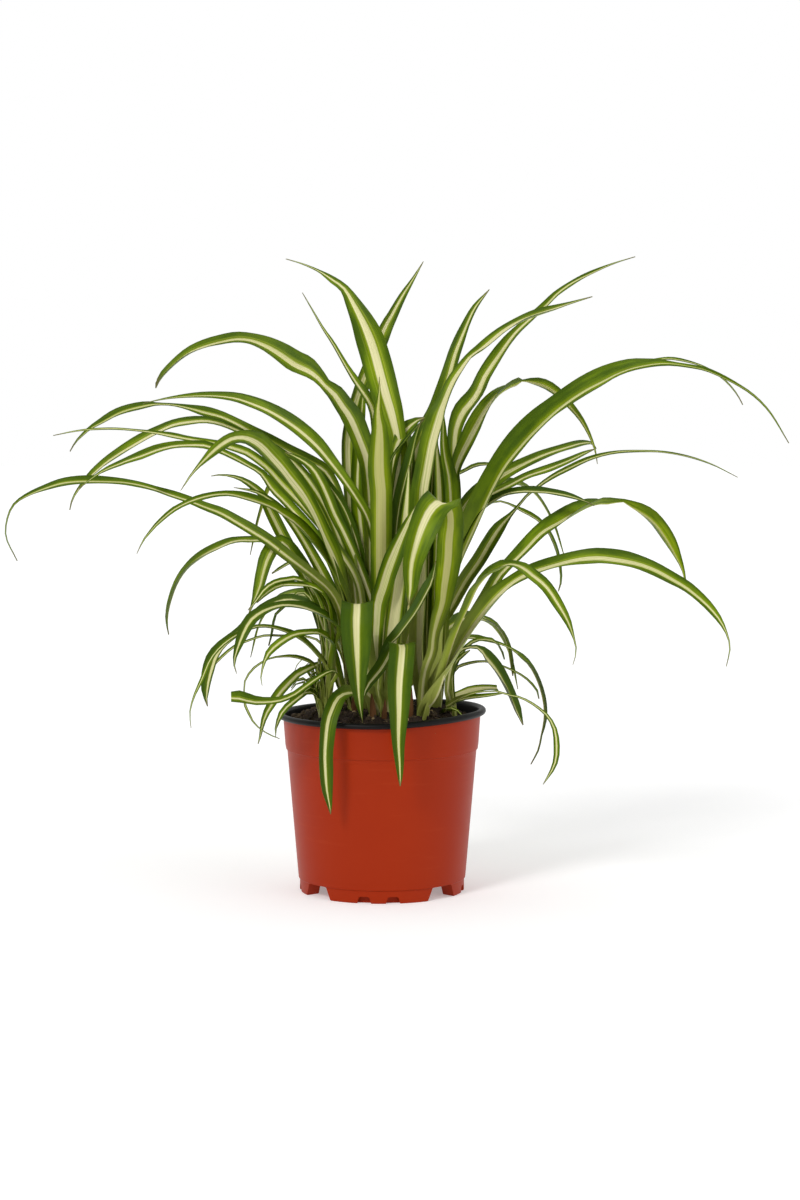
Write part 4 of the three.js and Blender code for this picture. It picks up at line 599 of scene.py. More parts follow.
def blade(points, width, roll, draw, facing=None, twist=0, late=2.6, stripe=0.3, dry=0.0, fold=FOLD,
          tint_and_shade=None):
    """One leaf as a closed thin shell on a grid of distance along it by u across it, from -1 to 1. A
    point is line + reach * u * side + height * (rounded |u|) * normal, where reach and height are the
    half width times the cosine and sine of the fold. The half width is the seen width divided by what a
    half width of one shows from the front, or else it follows the taper. The fold opens where the line
    bends sharply, and each margin waves by u^2 times a slow sine. Every ring is then moved square to the
    line of sight, so that from the front the line runs along its middle."""
    line, run = even_line(points, RING_STEP)
    line, seen = line[:, :3], line[:, 3] if line.shape[1] == 4 else None
    t = run / run[-1]
    along, side, normal = leaf_axes(line, run, roll, facing, twist)
    flat = unit(np.cross(along, unit(line - EYE)))

    bend = np.linalg.norm(np.gradient(along, run, axis=0), axis=1)
    opened = np.exp(-(BENT_FLAT * bend) ** 2)
    at_root = 1 + 0.15 * (1 - smoothstep(t, 0.05, 0.35))
    at_tip = 1 - 0.2 * smoothstep(t, 0.6, 1)
    angle = np.radians(fold * opened * at_root * at_tip)
    columns = 9 if width < NARROW else 13
    u = np.linspace(-1, 1, columns)
    lift = (np.sqrt(u ** 2 + KEEL) - math.sqrt(KEEL)) / (math.sqrt(1 + KEEL) - math.sqrt(KEEL))

    if seen is None:
        half = np.maximum(TIP_WIDTH, width * (NARROW_GAIN if width < NARROW else 1) * taper(t, late)) / 2
    else:
        shown = np.cos(angle)[:, None] * u * dot(side, flat)
        shown = shown + np.sin(angle)[:, None] * lift * dot(normal, flat)
        half = np.clip(seen / np.ptp(shown, axis=1), TIP_WIDTH / 2, GROWTH * width / 2)
    wave = draw.uniform(*WAVE_HEIGHT) * width * smoothstep(t, 0.12, 0.4) * (1 - smoothstep(t, 0.85, 1))
    pace = 2 * math.pi * run / draw.uniform(*WAVE_LENGTH)
    left, right = draw.uniform(0, 2 * math.pi, 2)
    ripple = np.where(u < 0, np.sin(pace[:, None] + left), np.sin(1.1 * pace[:, None] + right)) * u ** 2
    reach = (half * np.cos(angle))[:, None] * u
    height = (half * np.sin(angle))[:, None] * lift + wave[:, None] * ripple
    middle = reach[..., None] * side[:, None] + height[..., None] * normal[:, None]
    aside = np.einsum("ijk,ik->ij", middle, flat)
    middle = line[:, None] + middle - ((aside.max(1) + aside.min(1)) / 2)[:, None, None] * flat[:, None]
    thick = (SKIN - MARGIN_LESS * np.abs(u)) * (1 + ROOT_MORE * (1 - smoothstep(t, 0.02, 0.22)))[:, None]
    skin = thick[..., None] * normal[:, None]

    points = np.concatenate([middle + skin, (middle - skin)[:, ::-1]], axis=1)
    spread = np.concatenate([u, u[::-1]])
    rings, around = points.shape[:2]
    marks = {
        "across": np.tile(spread, (rings, 1)),
        "along": np.tile(t[:, None] * (CUT_SHARE if half[-1] > CUT_WIDTH / 2 else 1), (1, around)),
        "run": np.tile(run[:, None] * MM, (1, around)),
        "stripe": np.full((rings, around), stripe),
        "tint_and_shade": np.full((rings, around), draw.uniform(0, 1) if tint_and_shade is None else tint_and_shade),
        "dry": np.full((rings, around), dry),
        "under": np.tile(np.repeat([0.0, 1.0], columns), (rings, 1)),
    }
    return tube_shell(points.reshape(-1, 3), rings, around), {k: v.ravel() for k, v in marks.items()}


def tube_shell(points, rings, around):
    """Quads between neighbouring rings, with both ends closed across, turned so that the volume is
    positive."""
    ring, k = np.meshgrid(np.arange(rings - 1), np.arange(around), indexing="ij")
    a = ring * around + k
    b = ring * around + (k + 1) % around
    walls = np.stack([a, b, b + around, a + around], -1).reshape(-1, 4)
    j = np.arange(around // 2 - 1)
    start = np.stack([j, around - 1 - j, around - 2 - j, j + 1], -1)
    end = start[:, ::-1] + (rings - 1) * around
    faces = np.vstack([walls, start, end])
    p = points[faces]
    volume = np.einsum("ij,ij->i", p[:, 0], np.cross(p[:, 1], p[:, 2])).sum()
    volume += np.einsum("ij,ij->i", p[:, 0], np.cross(p[:, 2], p[:, 3])).sum()
    return points, faces if volume > 0 else faces[:, ::-1]


def shell_faces(rings, sides):
    """Faces of a stack of closed rings: quads between neighbouring rings, and a fan to a pole at either
    end. The poles are the last two points, the first ring's before the last ring's."""
    ring, k = np.meshgrid(np.arange(rings - 1), np.arange(sides), indexing="ij")
    a, b = ring * sides + k, ring * sides + (k + 1) % sides
    quads = np.stack([a, b, b + sides, a + sides], -1).reshape(-1, 4)
    k = np.arange(sides)
    foot, last = rings * sides, (rings - 1) * sides
    fans = np.vstack([np.stack([np.full(sides, foot), (k + 1) % sides, k], -1),
                      np.stack([np.full(sides, foot + 1), last + k, last + (k + 1) % sides], -1)])
    return quads.tolist() + fans.tolist()


def lathe_shell(profile, sides):
    """Profile points (r, z), from the axis to the axis, carried round the axis: (r cos a, r sin a, z)."""
    r, z = np.array(profile, float)[1:-1].T
    angle = np.arange(sides) * 2 * math.pi / sides
    turned = [np.outer(r, np.cos(angle)), np.outer(r, np.sin(angle)), np.outer(z, np.ones(sides))]
    poles = [[0, 0, profile[0][1]], [0, 0, profile[-1][1]]]
    return np.vstack([np.stack(turned, -1).reshape(-1, 3), poles]), shell_faces(len(r), sides)


def make_piece(name, points, faces, material, marks=None, crease=50):
    """A mesh object at the origin, from points in millimetres, lists of faces and values kept on the
    vertices."""
    mesh = bpy.data.meshes.new(name)
    mesh.from_pydata((np.asarray(points) * MM).tolist(), [], faces)
    for key, values in (marks or {}).items():
        mesh.attributes.new(key, "FLOAT", "POINT").data.foreach_set("value", np.asarray(values, np.float32))
    mesh.materials.append(material)
    mesh.shade_smooth()
    mesh.set_sharp_from_angle(angle=math.radians(crease))
    mesh.update()
    piece = bpy.data.objects.new(name, mesh)
    bpy.context.scene.collection.objects.link(piece)
    return piece


def stands_for(piece, node):
    """The piece takes the place of one node of the same plant."""
    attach(piece, "root")
    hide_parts(node)


def joined(parts):
    """Several ((points, faces), marks) as one, with the face numbers moved on and the faces as lists."""
    points, faces, marks, first = [], [], {}, 0
    for (p, f), m in parts:
        points.append(p)
        faces.append(f + first)
        first += len(p)
        for key, values in m.items():
            marks.setdefault(key, []).append(values)
    return np.vstack(points), np.vstack(faces).tolist(), {k: np.concatenate(v) for k, v in marks.items()}


class Value:
    """A socket that takes part in arithmetic: each operator adds the Math node that it names."""

    def __init__(self, nodes, socket):
        self.nodes = nodes
        self.socket = socket

    def math(self, operation, *values):
        return self.nodes.add("ShaderNodeMath", {"operation": operation}, dict(enumerate(values)))

    def __add__(self, other):
        return self.math("ADD", self, other)

    def __sub__(self, other):
        return self.math("SUBTRACT", self, other)

    def __rsub__(self, other):
        return self.math("SUBTRACT", other, self)

    def __mul__(self, other):
        return self.math("MULTIPLY", self, other)

    def __abs__(self):
        return self.math("ABSOLUTE", self)

    __radd__ = __add__
    __rmul__ = __mul__


class Finish:
    """The node tree of a new material, or of a world. All nodes are added by one method."""

    def __init__(self, owner):
        self.owner = bpy.data.materials.new(owner) if isinstance(owner, str) else owner
        self.owner.use_nodes = True
        self.tree = self.owner.node_tree
        self.shader = self.tree.nodes.get("Principled BSDF")

    def add(self, kind, settings, inputs, output=0):
        """One node: its settings first, and then the values or links of its sockets."""
        node = self.tree.nodes.new(kind)
        for key, value in settings.items():
            setattr(node, key, value)
        for key, value in inputs.items():
            self.feed(node.inputs[key], value)
        return Value(self, node.outputs[output])

    def feed(self, socket, value):
        """Links a value to a socket, or sets the socket to a number or a colour."""
        if isinstance(value, Value):
            self.tree.links.new(value.socket, socket)
        else:
            socket.default_value = value

    def mark(self, name):
        """A value that the vertices carry."""
        return self.add("ShaderNodeAttribute", {"attribute_name": name}, {}, "Fac")

    def step(self, value, low, high):
        """Nought below low and one above high, smoothly between them."""
        return self.add("ShaderNodeMapRange", {"interpolation_type": "SMOOTHSTEP"},
                        {"Value": value, "From Min": low, "From Max": high})

    def mix(self, share, first, second):
        """The first colour where the share is nought, and the second where it is one."""
        return self.add("ShaderNodeMix", {"data_type": "RGBA"}, {0: share, 6: first, 7: second}, 2)

    def vector(self, x, y, z):
        return self.add("ShaderNodeCombineXYZ", {}, {0: x, 1: y, 2: z})

    def noise(self, place, scale, detail=2.0, roughness=0.5):
        return self.add("ShaderNodeTexNoise", {}, {
            "Vector": place, "Scale": scale, "Detail": detail, "Roughness": roughness}, "Fac")

    def place(self):
        """Object coordinates, which are metres in the shared frame."""
        return self.add("ShaderNodeTexCoord", {}, {}, "Object")

    def split(self, place, axis):
        """One coordinate of a place."""
        return self.add("ShaderNodeSeparateXYZ", {}, {0: place}, axis)

    def bump(self, height, strength, distance):
        """Small relief of the surface, with its distance in metres."""
        normal = self.add("ShaderNodeBump", {}, {
            "Height": height, "Strength": strength, "Distance": distance}, "Normal")
        self.feed(self.shader.inputs["Normal"], normal)

    def set(self, **sockets):
        """Feeds the shader's own sockets, each named with low lines for its spaces."""
        for name, value in sockets.items():
            self.feed(self.shader.inputs[name.replace("_", " ")], value)


def tone(red, green, blue):
    """A colour given in the 0 to 255 steps of a screen, as the linear light that shaders use."""
    levels = np.array([red, green, blue]) / 255
    linear = np.where(levels <= 0.04045, levels / 12.92, ((levels + 0.055) / 1.055) ** 2.4)
    return (*linear.tolist(), 1.0)


def leaf_finish():
    """Green margins and a cream stripe, with fine lines that run along the leaf. The stripe's edge is the
    leaf's own share of the half width, moved by a drawn-out noise, and a yellow green band lies beside it,
    partly the leaf's own and partly painted light that shines through the leaf. The leaves of DARK_LEAVES
    turn a deeper green, partly their own and partly painted shade. Painted shade also darkens the green
    towards the margins and lies in drawn-out patches, where the cream turns olive. The upper face is green
    with bright cream, and the lower face is lighter in its green, partly its own paler green and partly
    painted light that shines through, and duller in its cream, which is painted shade. Both fade to pale
    olive at the root and to brown at the very tip."""
    f = Finish("leaf")
    across, along, run = f.mark("across"), f.mark("along"), f.mark("run")
    stripe, tint_and_shade, dry, under = f.mark("stripe"), f.mark("tint_and_shade"), f.mark("dry"), f.mark("under")
    seed = tint_and_shade * 57.0
    out = abs(across)
    broad = f.noise(f.vector(across * 4.0, run * 12.0, seed), 1.0)
    fine = f.noise(f.vector(across * 10.0, run * 4.0, seed + 9.0), 1.0)
    hair = f.noise(f.vector(across * 24.0, run * 6.0, seed + 21.0), 1.0)
    mottle = f.noise(f.vector(across * 1.6, run * 42.0, seed + 33.0), 1.0, 3.0)
    # Painted shade: drawn-out patches where the green darkens and the cream turns olive, as in the shade
    # among the leaves.
    shade = f.noise(f.vector(across * 0.7, run * 13.0, seed + 45.0), 1.0, 1.0)
    edge = stripe * (1.0 - 0.3 * f.step(along, 0.55, 1.0)) + (broad - 0.5) * 0.2
    past = out - edge
    cream = 1.0 - f.step(past, -0.05, 0.05)
    # Partly painted light: a yellow green band beside the stripe, partly the leaf's own and partly light that
    # shines through the leaf.
    band_and_backlight = 1.0 - f.step(past, 0.0, 0.32)
    lines = f.step(fine, 0.53, 0.62) * (1.0 - f.step(past, 0.05, 0.34))

    # Partly painted light: the lower face's lighter green is partly its own paler green and partly light that
    # shines through the leaf.
    top = f.mix(f.step(mottle, 0.3, 0.7), tone(72, 99, 1), tone(116, 142, 3))
    low = f.mix(f.step(mottle, 0.3, 0.7), tone(86, 111, 0), tone(136, 157, 2))
    green = f.mix(under, top, low)
    # Painted shade: the green darkens in the shade patches.
    green = f.mix(f.step(shade, 0.42, 0.62) * 0.5, green, tone(52, 78, 0))
    green = f.mix(f.step(tint_and_shade, 0.35, 0.95) * 0.3, green, tone(66, 94, 3))
    # Partly painted shade: the leaves of DARK_LEAVES turn a deeper green.
    green = f.mix(f.step(tint_and_shade, 1.1, 1.4) * 0.5, green, tone(34, 64, 4))
    # Partly painted light: the yellow green band beside the stripe, weaker on the deeper green leaves.
    green = f.mix(band_and_backlight * (0.5 - f.step(tint_and_shade, 1.1, 1.4) * 0.25), green, tone(156, 172, 4))
    # Painted shade: the green darkens towards the margins.
    green = f.mix(f.step(out, 0.62, 1.0) * 0.6, green, tone(50, 74, 0))
    green = f.mix(lines * 0.7, green, tone(180, 192, 72))
    green = f.mix(f.step(hair, 0.5, 0.68) * 0.4, green, tone(56, 80, 0))
    # Painted shade: the lower face's cream is duller than the upper face's.
    pale = f.mix(under, tone(234, 228, 176), tone(196, 192, 124))
    # Painted shade: the cream turns olive in the shade patches.
    pale = f.mix(f.step(shade, 0.4, 0.65) * 0.35, pale, tone(176, 176, 98))
    pale = f.mix(f.step(hair, 0.45, 0.6) * 0.35, pale, tone(180, 184, 100))
    pale = f.mix(f.step(fine, 0.56, 0.64) * 0.55, pale, tone(150, 168, 62))
    colour = f.mix(cream, green, pale)
    root = 1.0 - f.step(along, 0.06, 0.42)
    colour = f.mix(root * 0.8, colour, f.mix(cream, tone(164, 170, 84), tone(208, 204, 152)))
    tip = f.step(along + (broad - 0.5) * 0.02, 0.972, 0.99)
    colour = f.mix(tip * 0.6, colour, tone(110, 96, 60))
    husk = f.mix(fine, tone(62, 36, 20), tone(134, 94, 56))
    colour = f.mix(dry, colour, husk)
    f.set(Base_Color=colour, Roughness=0.44 + (mottle - 0.5) * 0.12 + dry * 0.4)
    f.set(Specular_IOR_Level=0.12)
    f.bump(hair + fine * 0.6, 0.4, 0.0004)
    return f.owner


def pot_finish():
    """Satin red plastic outside with a thin skin of black inside. A point is black where it lies deeper
    than half the wall under the outer cone, or above the collar, on the rim, which rises towards +X."""
    f = Finish("pot")
    place = f.place()
    x, y, z = (f.split(place, k) for k in range(3))
    square = x * x + y * y
    radius = square.math("SQRT", square)
    body = f.add("ShaderNodeMapRange", {}, {
        "Value": z, "From Min": FOOT_HEIGHT * MM, "From Max": BODY_TOP * MM,
        "To Min": BODY_FOOT_RADIUS * MM, "To Max": BODY_TOP_RADIUS * MM})
    rise = f.step(z, (COLLAR_FOOT - 0.7) * MM, COLLAR_FOOT * MM)
    collar = f.add("ShaderNodeMapRange", {}, {
        "Value": z, "From Min": COLLAR_FOOT * MM, "From Max": COLLAR_TOP * MM,
        "To Min": COLLAR_FOOT_RADIUS * MM, "To Max": COLLAR_RADIUS * MM})
    depth = body + rise * (collar - body) - radius
    above_floor = f.step(z, (FOOT_HEIGHT + 0.4) * MM, (FOOT_HEIGHT + 0.6) * MM)
    inside = f.step(depth, 0.0006, 0.0008) * above_floor
    lift = f.step(x, RIM_LIFT_FROM * RIM_RADIUS * MM, RIM_RADIUS * MM) * (RIM_LIFT * RIM_LIFT_SHARE * MM)
    rim = f.step(z - lift, (RIM_TOP - 3.75) * MM, (RIM_TOP - 3.6) * MM)
    black = inside.math("MAXIMUM", inside, rim)
    cloud = f.noise(place, 24.0, 3.0)
    grain = f.noise(place, 900.0, 2.0)
    scuff = f.noise(f.vector(x * 30.0, y * 30.0, z * 260.0), 1.0, 3.0)
    red = f.mix(cloud, tone(152, 38, 0), tone(160, 44, 2))
    red = f.mix(f.step(scuff, 0.6, 0.8) * 0.1, red, tone(188, 78, 40))
    dark = f.mix(cloud, tone(12, 11, 11), tone(22, 21, 21))
    f.set(Base_Color=f.mix(black, red, dark), Roughness=0.4 + (cloud - 0.5) * 0.1 + scuff * 0.05)
    f.set(Specular_IOR_Level=0.13)
    f.bump(grain * 0.3 + scuff * 0.7, 0.12, 0.0002)
    return f.owner


def soil_finish():
    """Dark peaty mix: brown crumbs with pale fibres and specks, by the lightness that each vertex
    carries."""
    f = Finish("potting mix")
    place = f.place()
    light = f.mark("light")
    crumb = f.noise(place, 700.0, 5.0, 0.7)
    patch = f.noise(place, 90.0, 3.0)
    colour = f.mix(crumb, tone(10, 6, 3), tone(58, 37, 21))
    colour = f.mix(f.step(patch, 0.5, 0.75) * 0.5, colour, tone(36, 23, 13))
    speck = f.step(f.noise(place, 1500.0, 2.0), 0.68, 0.74)
    colour = f.mix(speck * 0.7, colour, tone(128, 90, 54))
    colour = f.mix(light, colour, tone(190, 164, 118))
    f.set(Base_Color=colour, Roughness=0.92)
    f.bump(crumb, 0.9, 0.0012)
    return f.owner


def floor_finish():
    """Matt white paper that glows a little, so that only the plant's own shadow shows on it."""
    f = Finish("floor")
    f.set(Base_Color=(0.8, 0.8, 0.8, 1.0), Roughness=0.9, Specular_IOR_Level=0.1)
    f.set(Emission_Color=(1.0, 1.0, 1.0, 1.0), Emission_Strength=0.3)
    return f.owner


def roll_points(centre, radii, first, last, count):
    """Points of an ellipse arc from the first angle to the last, in degrees."""
    a = np.radians(np.linspace(first, last, count))
    return np.column_stack([centre[0] + radii[0] * np.cos(a), centre[1] + radii[1] * np.sin(a)]).tolist()


def pot_profile():
    """The section from the underside's middle, round the foot, up the outside, over the rim and down the
    inside."""
    recess = FOOT_RADIUS - FOOT_RING
    body = np.linspace(0, 1, 30)[:, None] * [BODY_TOP_RADIUS - BODY_FOOT_RADIUS, BODY_TOP - FOOT_HEIGHT]
    body = (body + [BODY_FOOT_RADIUS, FOOT_HEIGHT])[1:-1]
    collar = np.linspace(0, 1, 8)[:, None] * [COLLAR_RADIUS - COLLAR_FOOT_RADIUS, COLLAR_TOP - COLLAR_FOOT]
    collar = (collar + [COLLAR_FOOT_RADIUS, COLLAR_FOOT])[1:]
    rim = roll_points((RIM_RADIUS - RIM_ROLL[0], RIM_TOP - RIM_ROLL[1]), RIM_ROLL, -95, 175, 26)
    return [
        [0, FOOT_HEIGHT], [recess - 0.6, FOOT_HEIGHT], [recess, FOOT_HEIGHT - 0.6], [recess, 0.4],
        [recess + 0.4, 0], [FOOT_RADIUS - 0.5, 0], [FOOT_RADIUS, 0.5], [FOOT_RADIUS, FOOT_HEIGHT - 0.4],
        [BODY_FOOT_RADIUS - 0.35, FOOT_HEIGHT - 0.15], [BODY_FOOT_RADIUS, FOOT_HEIGHT + 0.2], *body.tolist(),
        [BODY_TOP_RADIUS, COLLAR_FOOT - 0.7], [BODY_TOP_RADIUS + 0.2, COLLAR_FOOT - 0.35],
        [COLLAR_FOOT_RADIUS - 0.25, COLLAR_FOOT - 0.1], *collar.tolist(), *rim,
        [COLLAR_RADIUS - WALL, RIM_TOP - 3], [COLLAR_FOOT_RADIUS - WALL, COLLAR_FOOT + 1.5],
        [BODY_TOP_RADIUS - WALL, COLLAR_FOOT], [BODY_FOOT_RADIUS - WALL, FOOT_HEIGHT + WALL],
        [0, FOOT_HEIGHT + WALL],
    ]


def arch_block(angle, arch):
    """A cutter for one arch: its outline, with round upper corners, carried outwards through the foot
    ring."""
    bottom = FOOT_RADIUS * math.sin(math.radians(arch["bottom"] / 2))
    top = FOOT_RADIUS * math.sin(math.radians(arch["top"] / 2))
    height = arch["height"]
    curve = min(ARCH_CORNER, height * 0.4)
    corner = roll_points((top - curve, height - curve), (curve, curve), 10, 90, 6)
    half = [[bottom, -1], *corner]
    outline = np.array(half + [[-a, b] for a, b in half[::-1]])
    reaches = (FOOT_RADIUS - arch["depth"], FOOT_RADIUS + 6)
    turn = math.radians(angle + POT_TURN)
    outward = np.array([math.sin(turn), -math.cos(turn), 0])
    sideways = np.array([math.cos(turn), math.sin(turn), 0])
    rows = [r * outward + outline[:, :1] * sideways + outline[:, 1:] * [0, 0, 1] for r in reaches]
    count = len(outline)
    k = np.arange(count)
    walls = np.stack([k, (k + 1) % count, (k + 1) % count + count, k + count], -1).tolist()
    return np.vstack(rows), [k[::-1].tolist(), (k + count).tolist(), *walls]


def cut(piece, blocks):
    """Takes closed blocks away from the piece, and gives it the mesh that is left."""
    points, faces, first = [], [], 0
    for p, f in blocks:
        points.append(p)
        faces += [[i + first for i in face] for face in f]
        first += len(p)
    tool = make_piece("cutter", np.vstack(points), faces, piece.data.materials[0])
    change = piece.modifiers.new("cut", "BOOLEAN")
    change.object, change.solver, change.operation = tool, "EXACT", "DIFFERENCE"
    bpy.context.view_layer.update()
    left = bpy.data.meshes.new_from_object(piece.evaluated_get(bpy.context.evaluated_depsgraph_get()))
    piece.modifiers.clear()
    piece.data = left
    bpy.data.objects.remove(tool)
    left.shade_smooth()
    left.set_sharp_from_angle(angle=math.radians(POT_CREASE))


def build_pot():
    """The moulded pot: a turned shell whose collar and rim are lifted towards +X, by a share that grows
    with height and with x, cut by the arches of its foot and the drain holes of its floor."""
    points, faces = lathe_shell(pot_profile(), POT_SIDES)
    up = np.clip((points[:, 2] - COLLAR_FOOT) / (RIM_TOP - COLLAR_FOOT), 0, 1)
    points[:, 2] += RIM_LIFT * up * smoothstep(points[:, 0] / RIM_RADIUS, RIM_LIFT_FROM, 1)
    piece = make_piece("pot_shell", points, faces, pot_finish(), crease=POT_CREASE)
    section = [[0, 0], [DRAIN_RADIUS, 0], [DRAIN_RADIUS, DRAIN_TOP], [0, DRAIN_TOP]]
    drain, drain_faces = lathe_shell(section, 24)
    places = np.radians(np.arange(DRAIN_COUNT) * 360 / DRAIN_COUNT)
    blocks = [(drain + [DRAIN_AWAY * math.cos(a), DRAIN_AWAY * math.sin(a), 0], drain_faces) for a in places]
    for arch in (ARCH_WIDE, ARCH_LOW):
        blocks += [arch_block(angle, arch) for angle in arch["angles"]]
    cut(piece, blocks)
    stands_for(piece, "pot")


def rough(x, y, size, draw, waves=24):
    """A seeded uneven field: sines about size millimetres long that run in random directions, summed and
    divided by the square root of their count."""
    angle, phase = draw.uniform(0, 2 * math.pi, (2, waves))
    pace = 2 * math.pi / (size * draw.uniform(0.6, 1.7, waves))
    turn = pace * (np.cos(angle) * x[..., None] + np.sin(angle) * y[..., None]) + phase
    return np.sin(turn).sum(-1) / math.sqrt(waves)


def soil_height(x, y):
    """The low mound's height at each place: its section, with lumps and grit from fields of their own
    seed."""
    draw = np.random.default_rng(SOIL_SEED)
    mound = np.interp(np.hypot(x, y), *np.array(SOIL_SECTION).T)
    lump = np.sin(0.31 * x + 1.1) * np.sin(0.27 * y + 0.4) + 0.5 * np.sin(0.6 * x - 0.5 * y)
    grit = 0.7 * rough(x, y, 9, draw) + 0.45 * np.abs(rough(x, y, 3.6, draw)) + 0.3 * rough(x, y, 1.7, draw)
    return mound + SOIL_ROUGHNESS * lump + grit


def build_soil():
    """The potting mix: a polar grid of the mound, closed below by a cone inside the pot's own, with
    crumbs."""
    angle = np.arange(SOIL_SIDES) * 2 * math.pi / SOIL_SIDES
    radius = SOIL_REACH * np.linspace(1, 0, SOIL_ROWS, endpoint=False)
    x, y = np.outer(radius, np.cos(angle)), np.outer(radius, np.sin(angle))
    top = np.stack([x, y, soil_height(x, y)], -1)
    wall = [[BODY_FOOT_RADIUS - 1.5, SOIL_FOOT], [BODY_TOP_RADIUS - 1.5, COLLAR_FOOT - 0.5],
            [COLLAR_FOOT_RADIUS - 2, COLLAR_FOOT + 2]]
    below = [np.column_stack([r * np.cos(angle), r * np.sin(angle), np.full(SOIL_SIDES, z)]) for r, z in wall]
    rings = np.concatenate([np.array(below), top])
    points = np.vstack([rings.reshape(-1, 3), [0, 0, SOIL_FOOT], [0, 0, top[-1, :, 2].mean()]])
    crumb_points, crumb_faces, crumb_light = crumbs(np.random.default_rng(CRUMB_SEED))
    faces = shell_faces(len(rings), SOIL_SIDES) + (crumb_faces + len(points)).tolist()
    light = np.concatenate([np.zeros(len(points)), crumb_light])
    points = np.vstack([points, crumb_points])
    piece = make_piece("potting_mix", points, faces, soil_finish(), {"light": light}, crease=70)
    stands_for(piece, "soil")


def crumbs(draw):
    """Bits of bark, peat and grit on the mix: twenty-sided lumps, each stretched, turned and tilted by
    its own draw, and long thin ones for fibres."""
    g = (1 + math.sqrt(5)) / 2
    corners = unit(np.array([[-1, g, 0], [1, g, 0], [-1, -g, 0], [1, -g, 0], [0, -1, g], [0, 1, g],
                             [0, -1, -g], [0, 1, -g], [g, 0, -1], [g, 0, 1], [-g, 0, -1], [-g, 0, 1]], float))
    sides = np.array([[0, 11, 5], [0, 5, 1], [0, 1, 7], [0, 7, 10], [0, 10, 11],
                      [1, 5, 9], [5, 11, 4], [11, 10, 2], [10, 7, 6], [7, 1, 8],
                      [3, 9, 4], [3, 4, 2], [3, 2, 6], [3, 6, 8], [3, 8, 9],
                      [4, 9, 5], [2, 4, 11], [6, 2, 10], [8, 6, 7], [9, 8, 1]])
    count = LUMPS + FIBRES
    away = CRUMB_REACH * np.sqrt(draw.uniform(0, 1, count))
    angle = draw.uniform(0, 2 * math.pi, count)
    x, y = away * np.cos(angle), away * np.sin(angle)
    z = soil_height(x, y)
    size = draw.uniform(0.35, 1.0, count) ** 2 * 1.9
    scale = size[:, None] * draw.uniform(0.55, 1.25, (count, 3))
    scale[LUMPS:] = np.column_stack([draw.uniform(2.0, 5.5, FIBRES), *draw.uniform(0.12, 0.24, (2, FIBRES))])
    shape = corners[None] * scale[:, None] * draw.uniform(0.82, 1.18, (count, 12, 1))
    yaw, pitch = draw.uniform(0, 2 * math.pi, count)[:, None], draw.uniform(-0.25, 0.25, count)[:, None]
    px = shape[..., 0] * np.cos(pitch) - shape[..., 2] * np.sin(pitch)
    pz = shape[..., 0] * np.sin(pitch) + shape[..., 2] * np.cos(pitch)
    turned = np.stack([px * np.cos(yaw) - shape[..., 1] * np.sin(yaw),
                       px * np.sin(yaw) + shape[..., 1] * np.cos(yaw), pz], -1)
    points = turned + np.stack([x, y, z + 0.25 * size], -1)[:, None]
    light = np.where(draw.uniform(0, 1, count) < 0.06,
                     draw.uniform(0.4, 0.9, count), draw.uniform(0, 0.1, count))
    light[LUMPS:] = draw.uniform(0.1, 0.5, FIBRES)
    faces = (sides[None] + 12 * np.arange(count)[:, None, None]).reshape(-1, 3)
    return points.reshape(-1, 3), faces, np.repeat(light, 12)


def leaf_line(crown, spots):
    """A leaf's points in space, from its foot and neck in the crown to its tip."""
    line = sighted(spots)
    at, radius = CROWNS[crown]
    away = line[0, :2] - at
    far = np.linalg.norm(away)
    away = away / far * min(far, radius * NECK_REACH)
    foot = [*(np.array(at) + away * FOOT_REACH), SOIL_CROWN - ROOT_DEPTH, *line[0, 3:] * FOOT_SHARE]
    neck = [*(np.array(at) + away), SOIL_CROWN + NECK_RISE, *line[0, 3:] * NECK_SHARE]
    return np.vstack([foot, neck, line])


def deeper(spots, extra):
    """The same look from the front, but further back: FAR_START, plus extra times the square root of the
    share of the points that are passed."""
    share = np.sqrt(np.arange(1, len(spots) + 1) / len(spots))
    moved = np.array(spots, float)
    moved[:, 2] += FAR_START + extra * share
    return moved


def tuft_blades(draw):
    """Young leaves that arch out of the left offset, each by its own angle, reach and rise: their five
    points stand at shares of the reach and of the rise."""
    at = CROWNS[TUFT["crown"]][0]
    made = []
    for _ in range(TUFT["count"]):
        angle = math.radians(draw.uniform(*TUFT["spread"]))
        reach, rise = draw.uniform(*TUFT["reach"]), draw.uniform(*TUFT["rise"])
        away = reach * np.array([0.05, 0.15, 0.5, 0.85, 1.1])
        up = SOIL_CROWN + np.array([-ROOT_DEPTH, 3, rise, rise * 1.05, rise * 0.8])
        line = np.column_stack([at[0] + away * math.cos(angle), at[1] + away * math.sin(angle), up])
        made.append(blade(line, TUFT["width"], 30, draw, stripe=0.3))
    return made


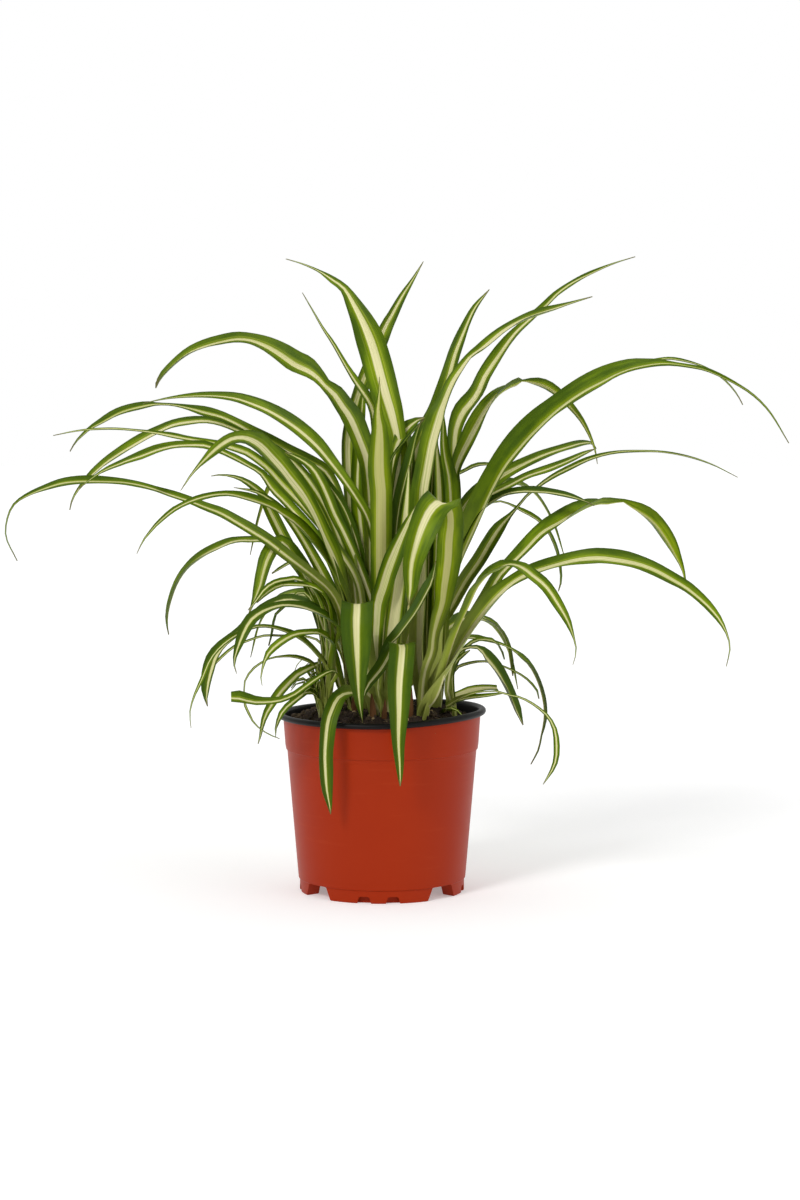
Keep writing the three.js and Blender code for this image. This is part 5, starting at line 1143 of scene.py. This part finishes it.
def build_plant():
    """Every crown as one piece: its leaves, the leaves that repeat others deeper, and its dry sheaths.
    Every leaf draws a stripe, also where STRIPES has one, so that an entry there moves no other draw."""
    draw = np.random.default_rng(LEAF_SEED)
    parts = {name: [] for name in CROWNS}
    for name, (crown, width, roll, spots, *rest) in LEAVES.items():
        extras = dict(rest[0]) if rest else {}
        behind = extras.pop("behind", None)
        # Partly painted shade: these leaves are marked for a deeper green.
        if name in DARK_LEAVES:
            extras["tint_and_shade"] = DARK_TINT_AND_SHADE
        stripe = STRIPES.get(name, draw.uniform(*USUAL_STRIPE))
        parts[crown].append(blade(leaf_line(crown, spots), width, roll, draw, stripe=stripe, **extras))
        if behind:
            other, extra, share = behind
            line = leaf_line(other, deeper(spots, extra))
            stripe = draw.uniform(*USUAL_STRIPE)
            parts[other].append(blade(line, width * share, roll, draw, stripe=stripe, **extras))
    parts[TUFT["crown"]] += tuft_blades(draw)
    for crown, width, facing, spots in SHEATHS:
        parts[crown].append(blade(sighted(spots), width, 0, draw, facing=facing, dry=1.0, fold=20, late=1.6))
    finish = leaf_finish()
    for name, blades in parts.items():
        points, faces, marks = joined(blades)
        piece = make_piece(name + "_leaves", points, faces, finish, marks)
        stands_for(piece, name)


def build_camera():
    """The front viewpoint, looking at AIM."""
    data = bpy.data.cameras.new("camera")
    data.lens, data.sensor_width, data.clip_start = LENS, SENSOR, 0.05
    camera = bpy.data.objects.new("camera", data)
    camera.location = EYE * MM
    camera.rotation_euler = Vector(AIM - EYE).to_track_quat("-Z", "Y").to_euler()
    bpy.context.scene.collection.objects.link(camera)
    bpy.context.scene.camera = camera


def build_world():
    """White behind everything. The light that the world gives is weaker from the front than from the back
    and top, as it is in a studio whose white paper hangs behind the table."""
    world = bpy.data.worlds.new("studio")
    world.use_nodes = True
    bpy.context.scene.world = world
    f = Finish(world)
    way = f.add("ShaderNodeTexCoord", {}, {}, "Generated")
    back, up = f.split(way, 1), f.split(way, 2)
    light = FRONT_LIGHT + (BACK_LIGHT - FRONT_LIGHT) * f.step(back + up * 0.5, -0.7, 0.6)
    seen = f.add("ShaderNodeLightPath", {}, {}, "Is Camera Ray")
    f.feed(f.tree.nodes["Background"].inputs["Strength"], light + seen * (1.0 - light))
    f.feed(f.tree.nodes["Background"].inputs["Color"], (1.0, 1.0, 1.0, 1.0))


def lamp(name, place, strength, angle):
    """A far soft lamp that shines from a place towards LAMP_AIM."""
    data = bpy.data.lights.new(name, "SUN")
    data.energy, data.angle = strength, math.radians(angle)
    made = bpy.data.objects.new(name, data)
    made.rotation_euler = (Vector(LAMP_AIM) - Vector(place)).to_track_quat("-Z", "Y").to_euler()
    bpy.context.scene.collection.objects.link(made)


def build_studio():
    """Soft light from all round, two lamps, and a white floor that runs out of sight."""
    bpy.context.scene.view_settings.view_transform = "Standard"
    build_world()
    for name, settings in LAMPS.items():
        lamp(name, *settings)
    points = [[x * FLOOR_REACH, y * FLOOR_REACH, 0] for x, y in ((-1, -1), (1, -1), (1, 1), (-1, 1))]
    floor = make_piece("floor", points, [[0, 1, 2, 3]], floor_finish())


build_camera()
build_studio()
build_pot()
build_soil()
build_plant()
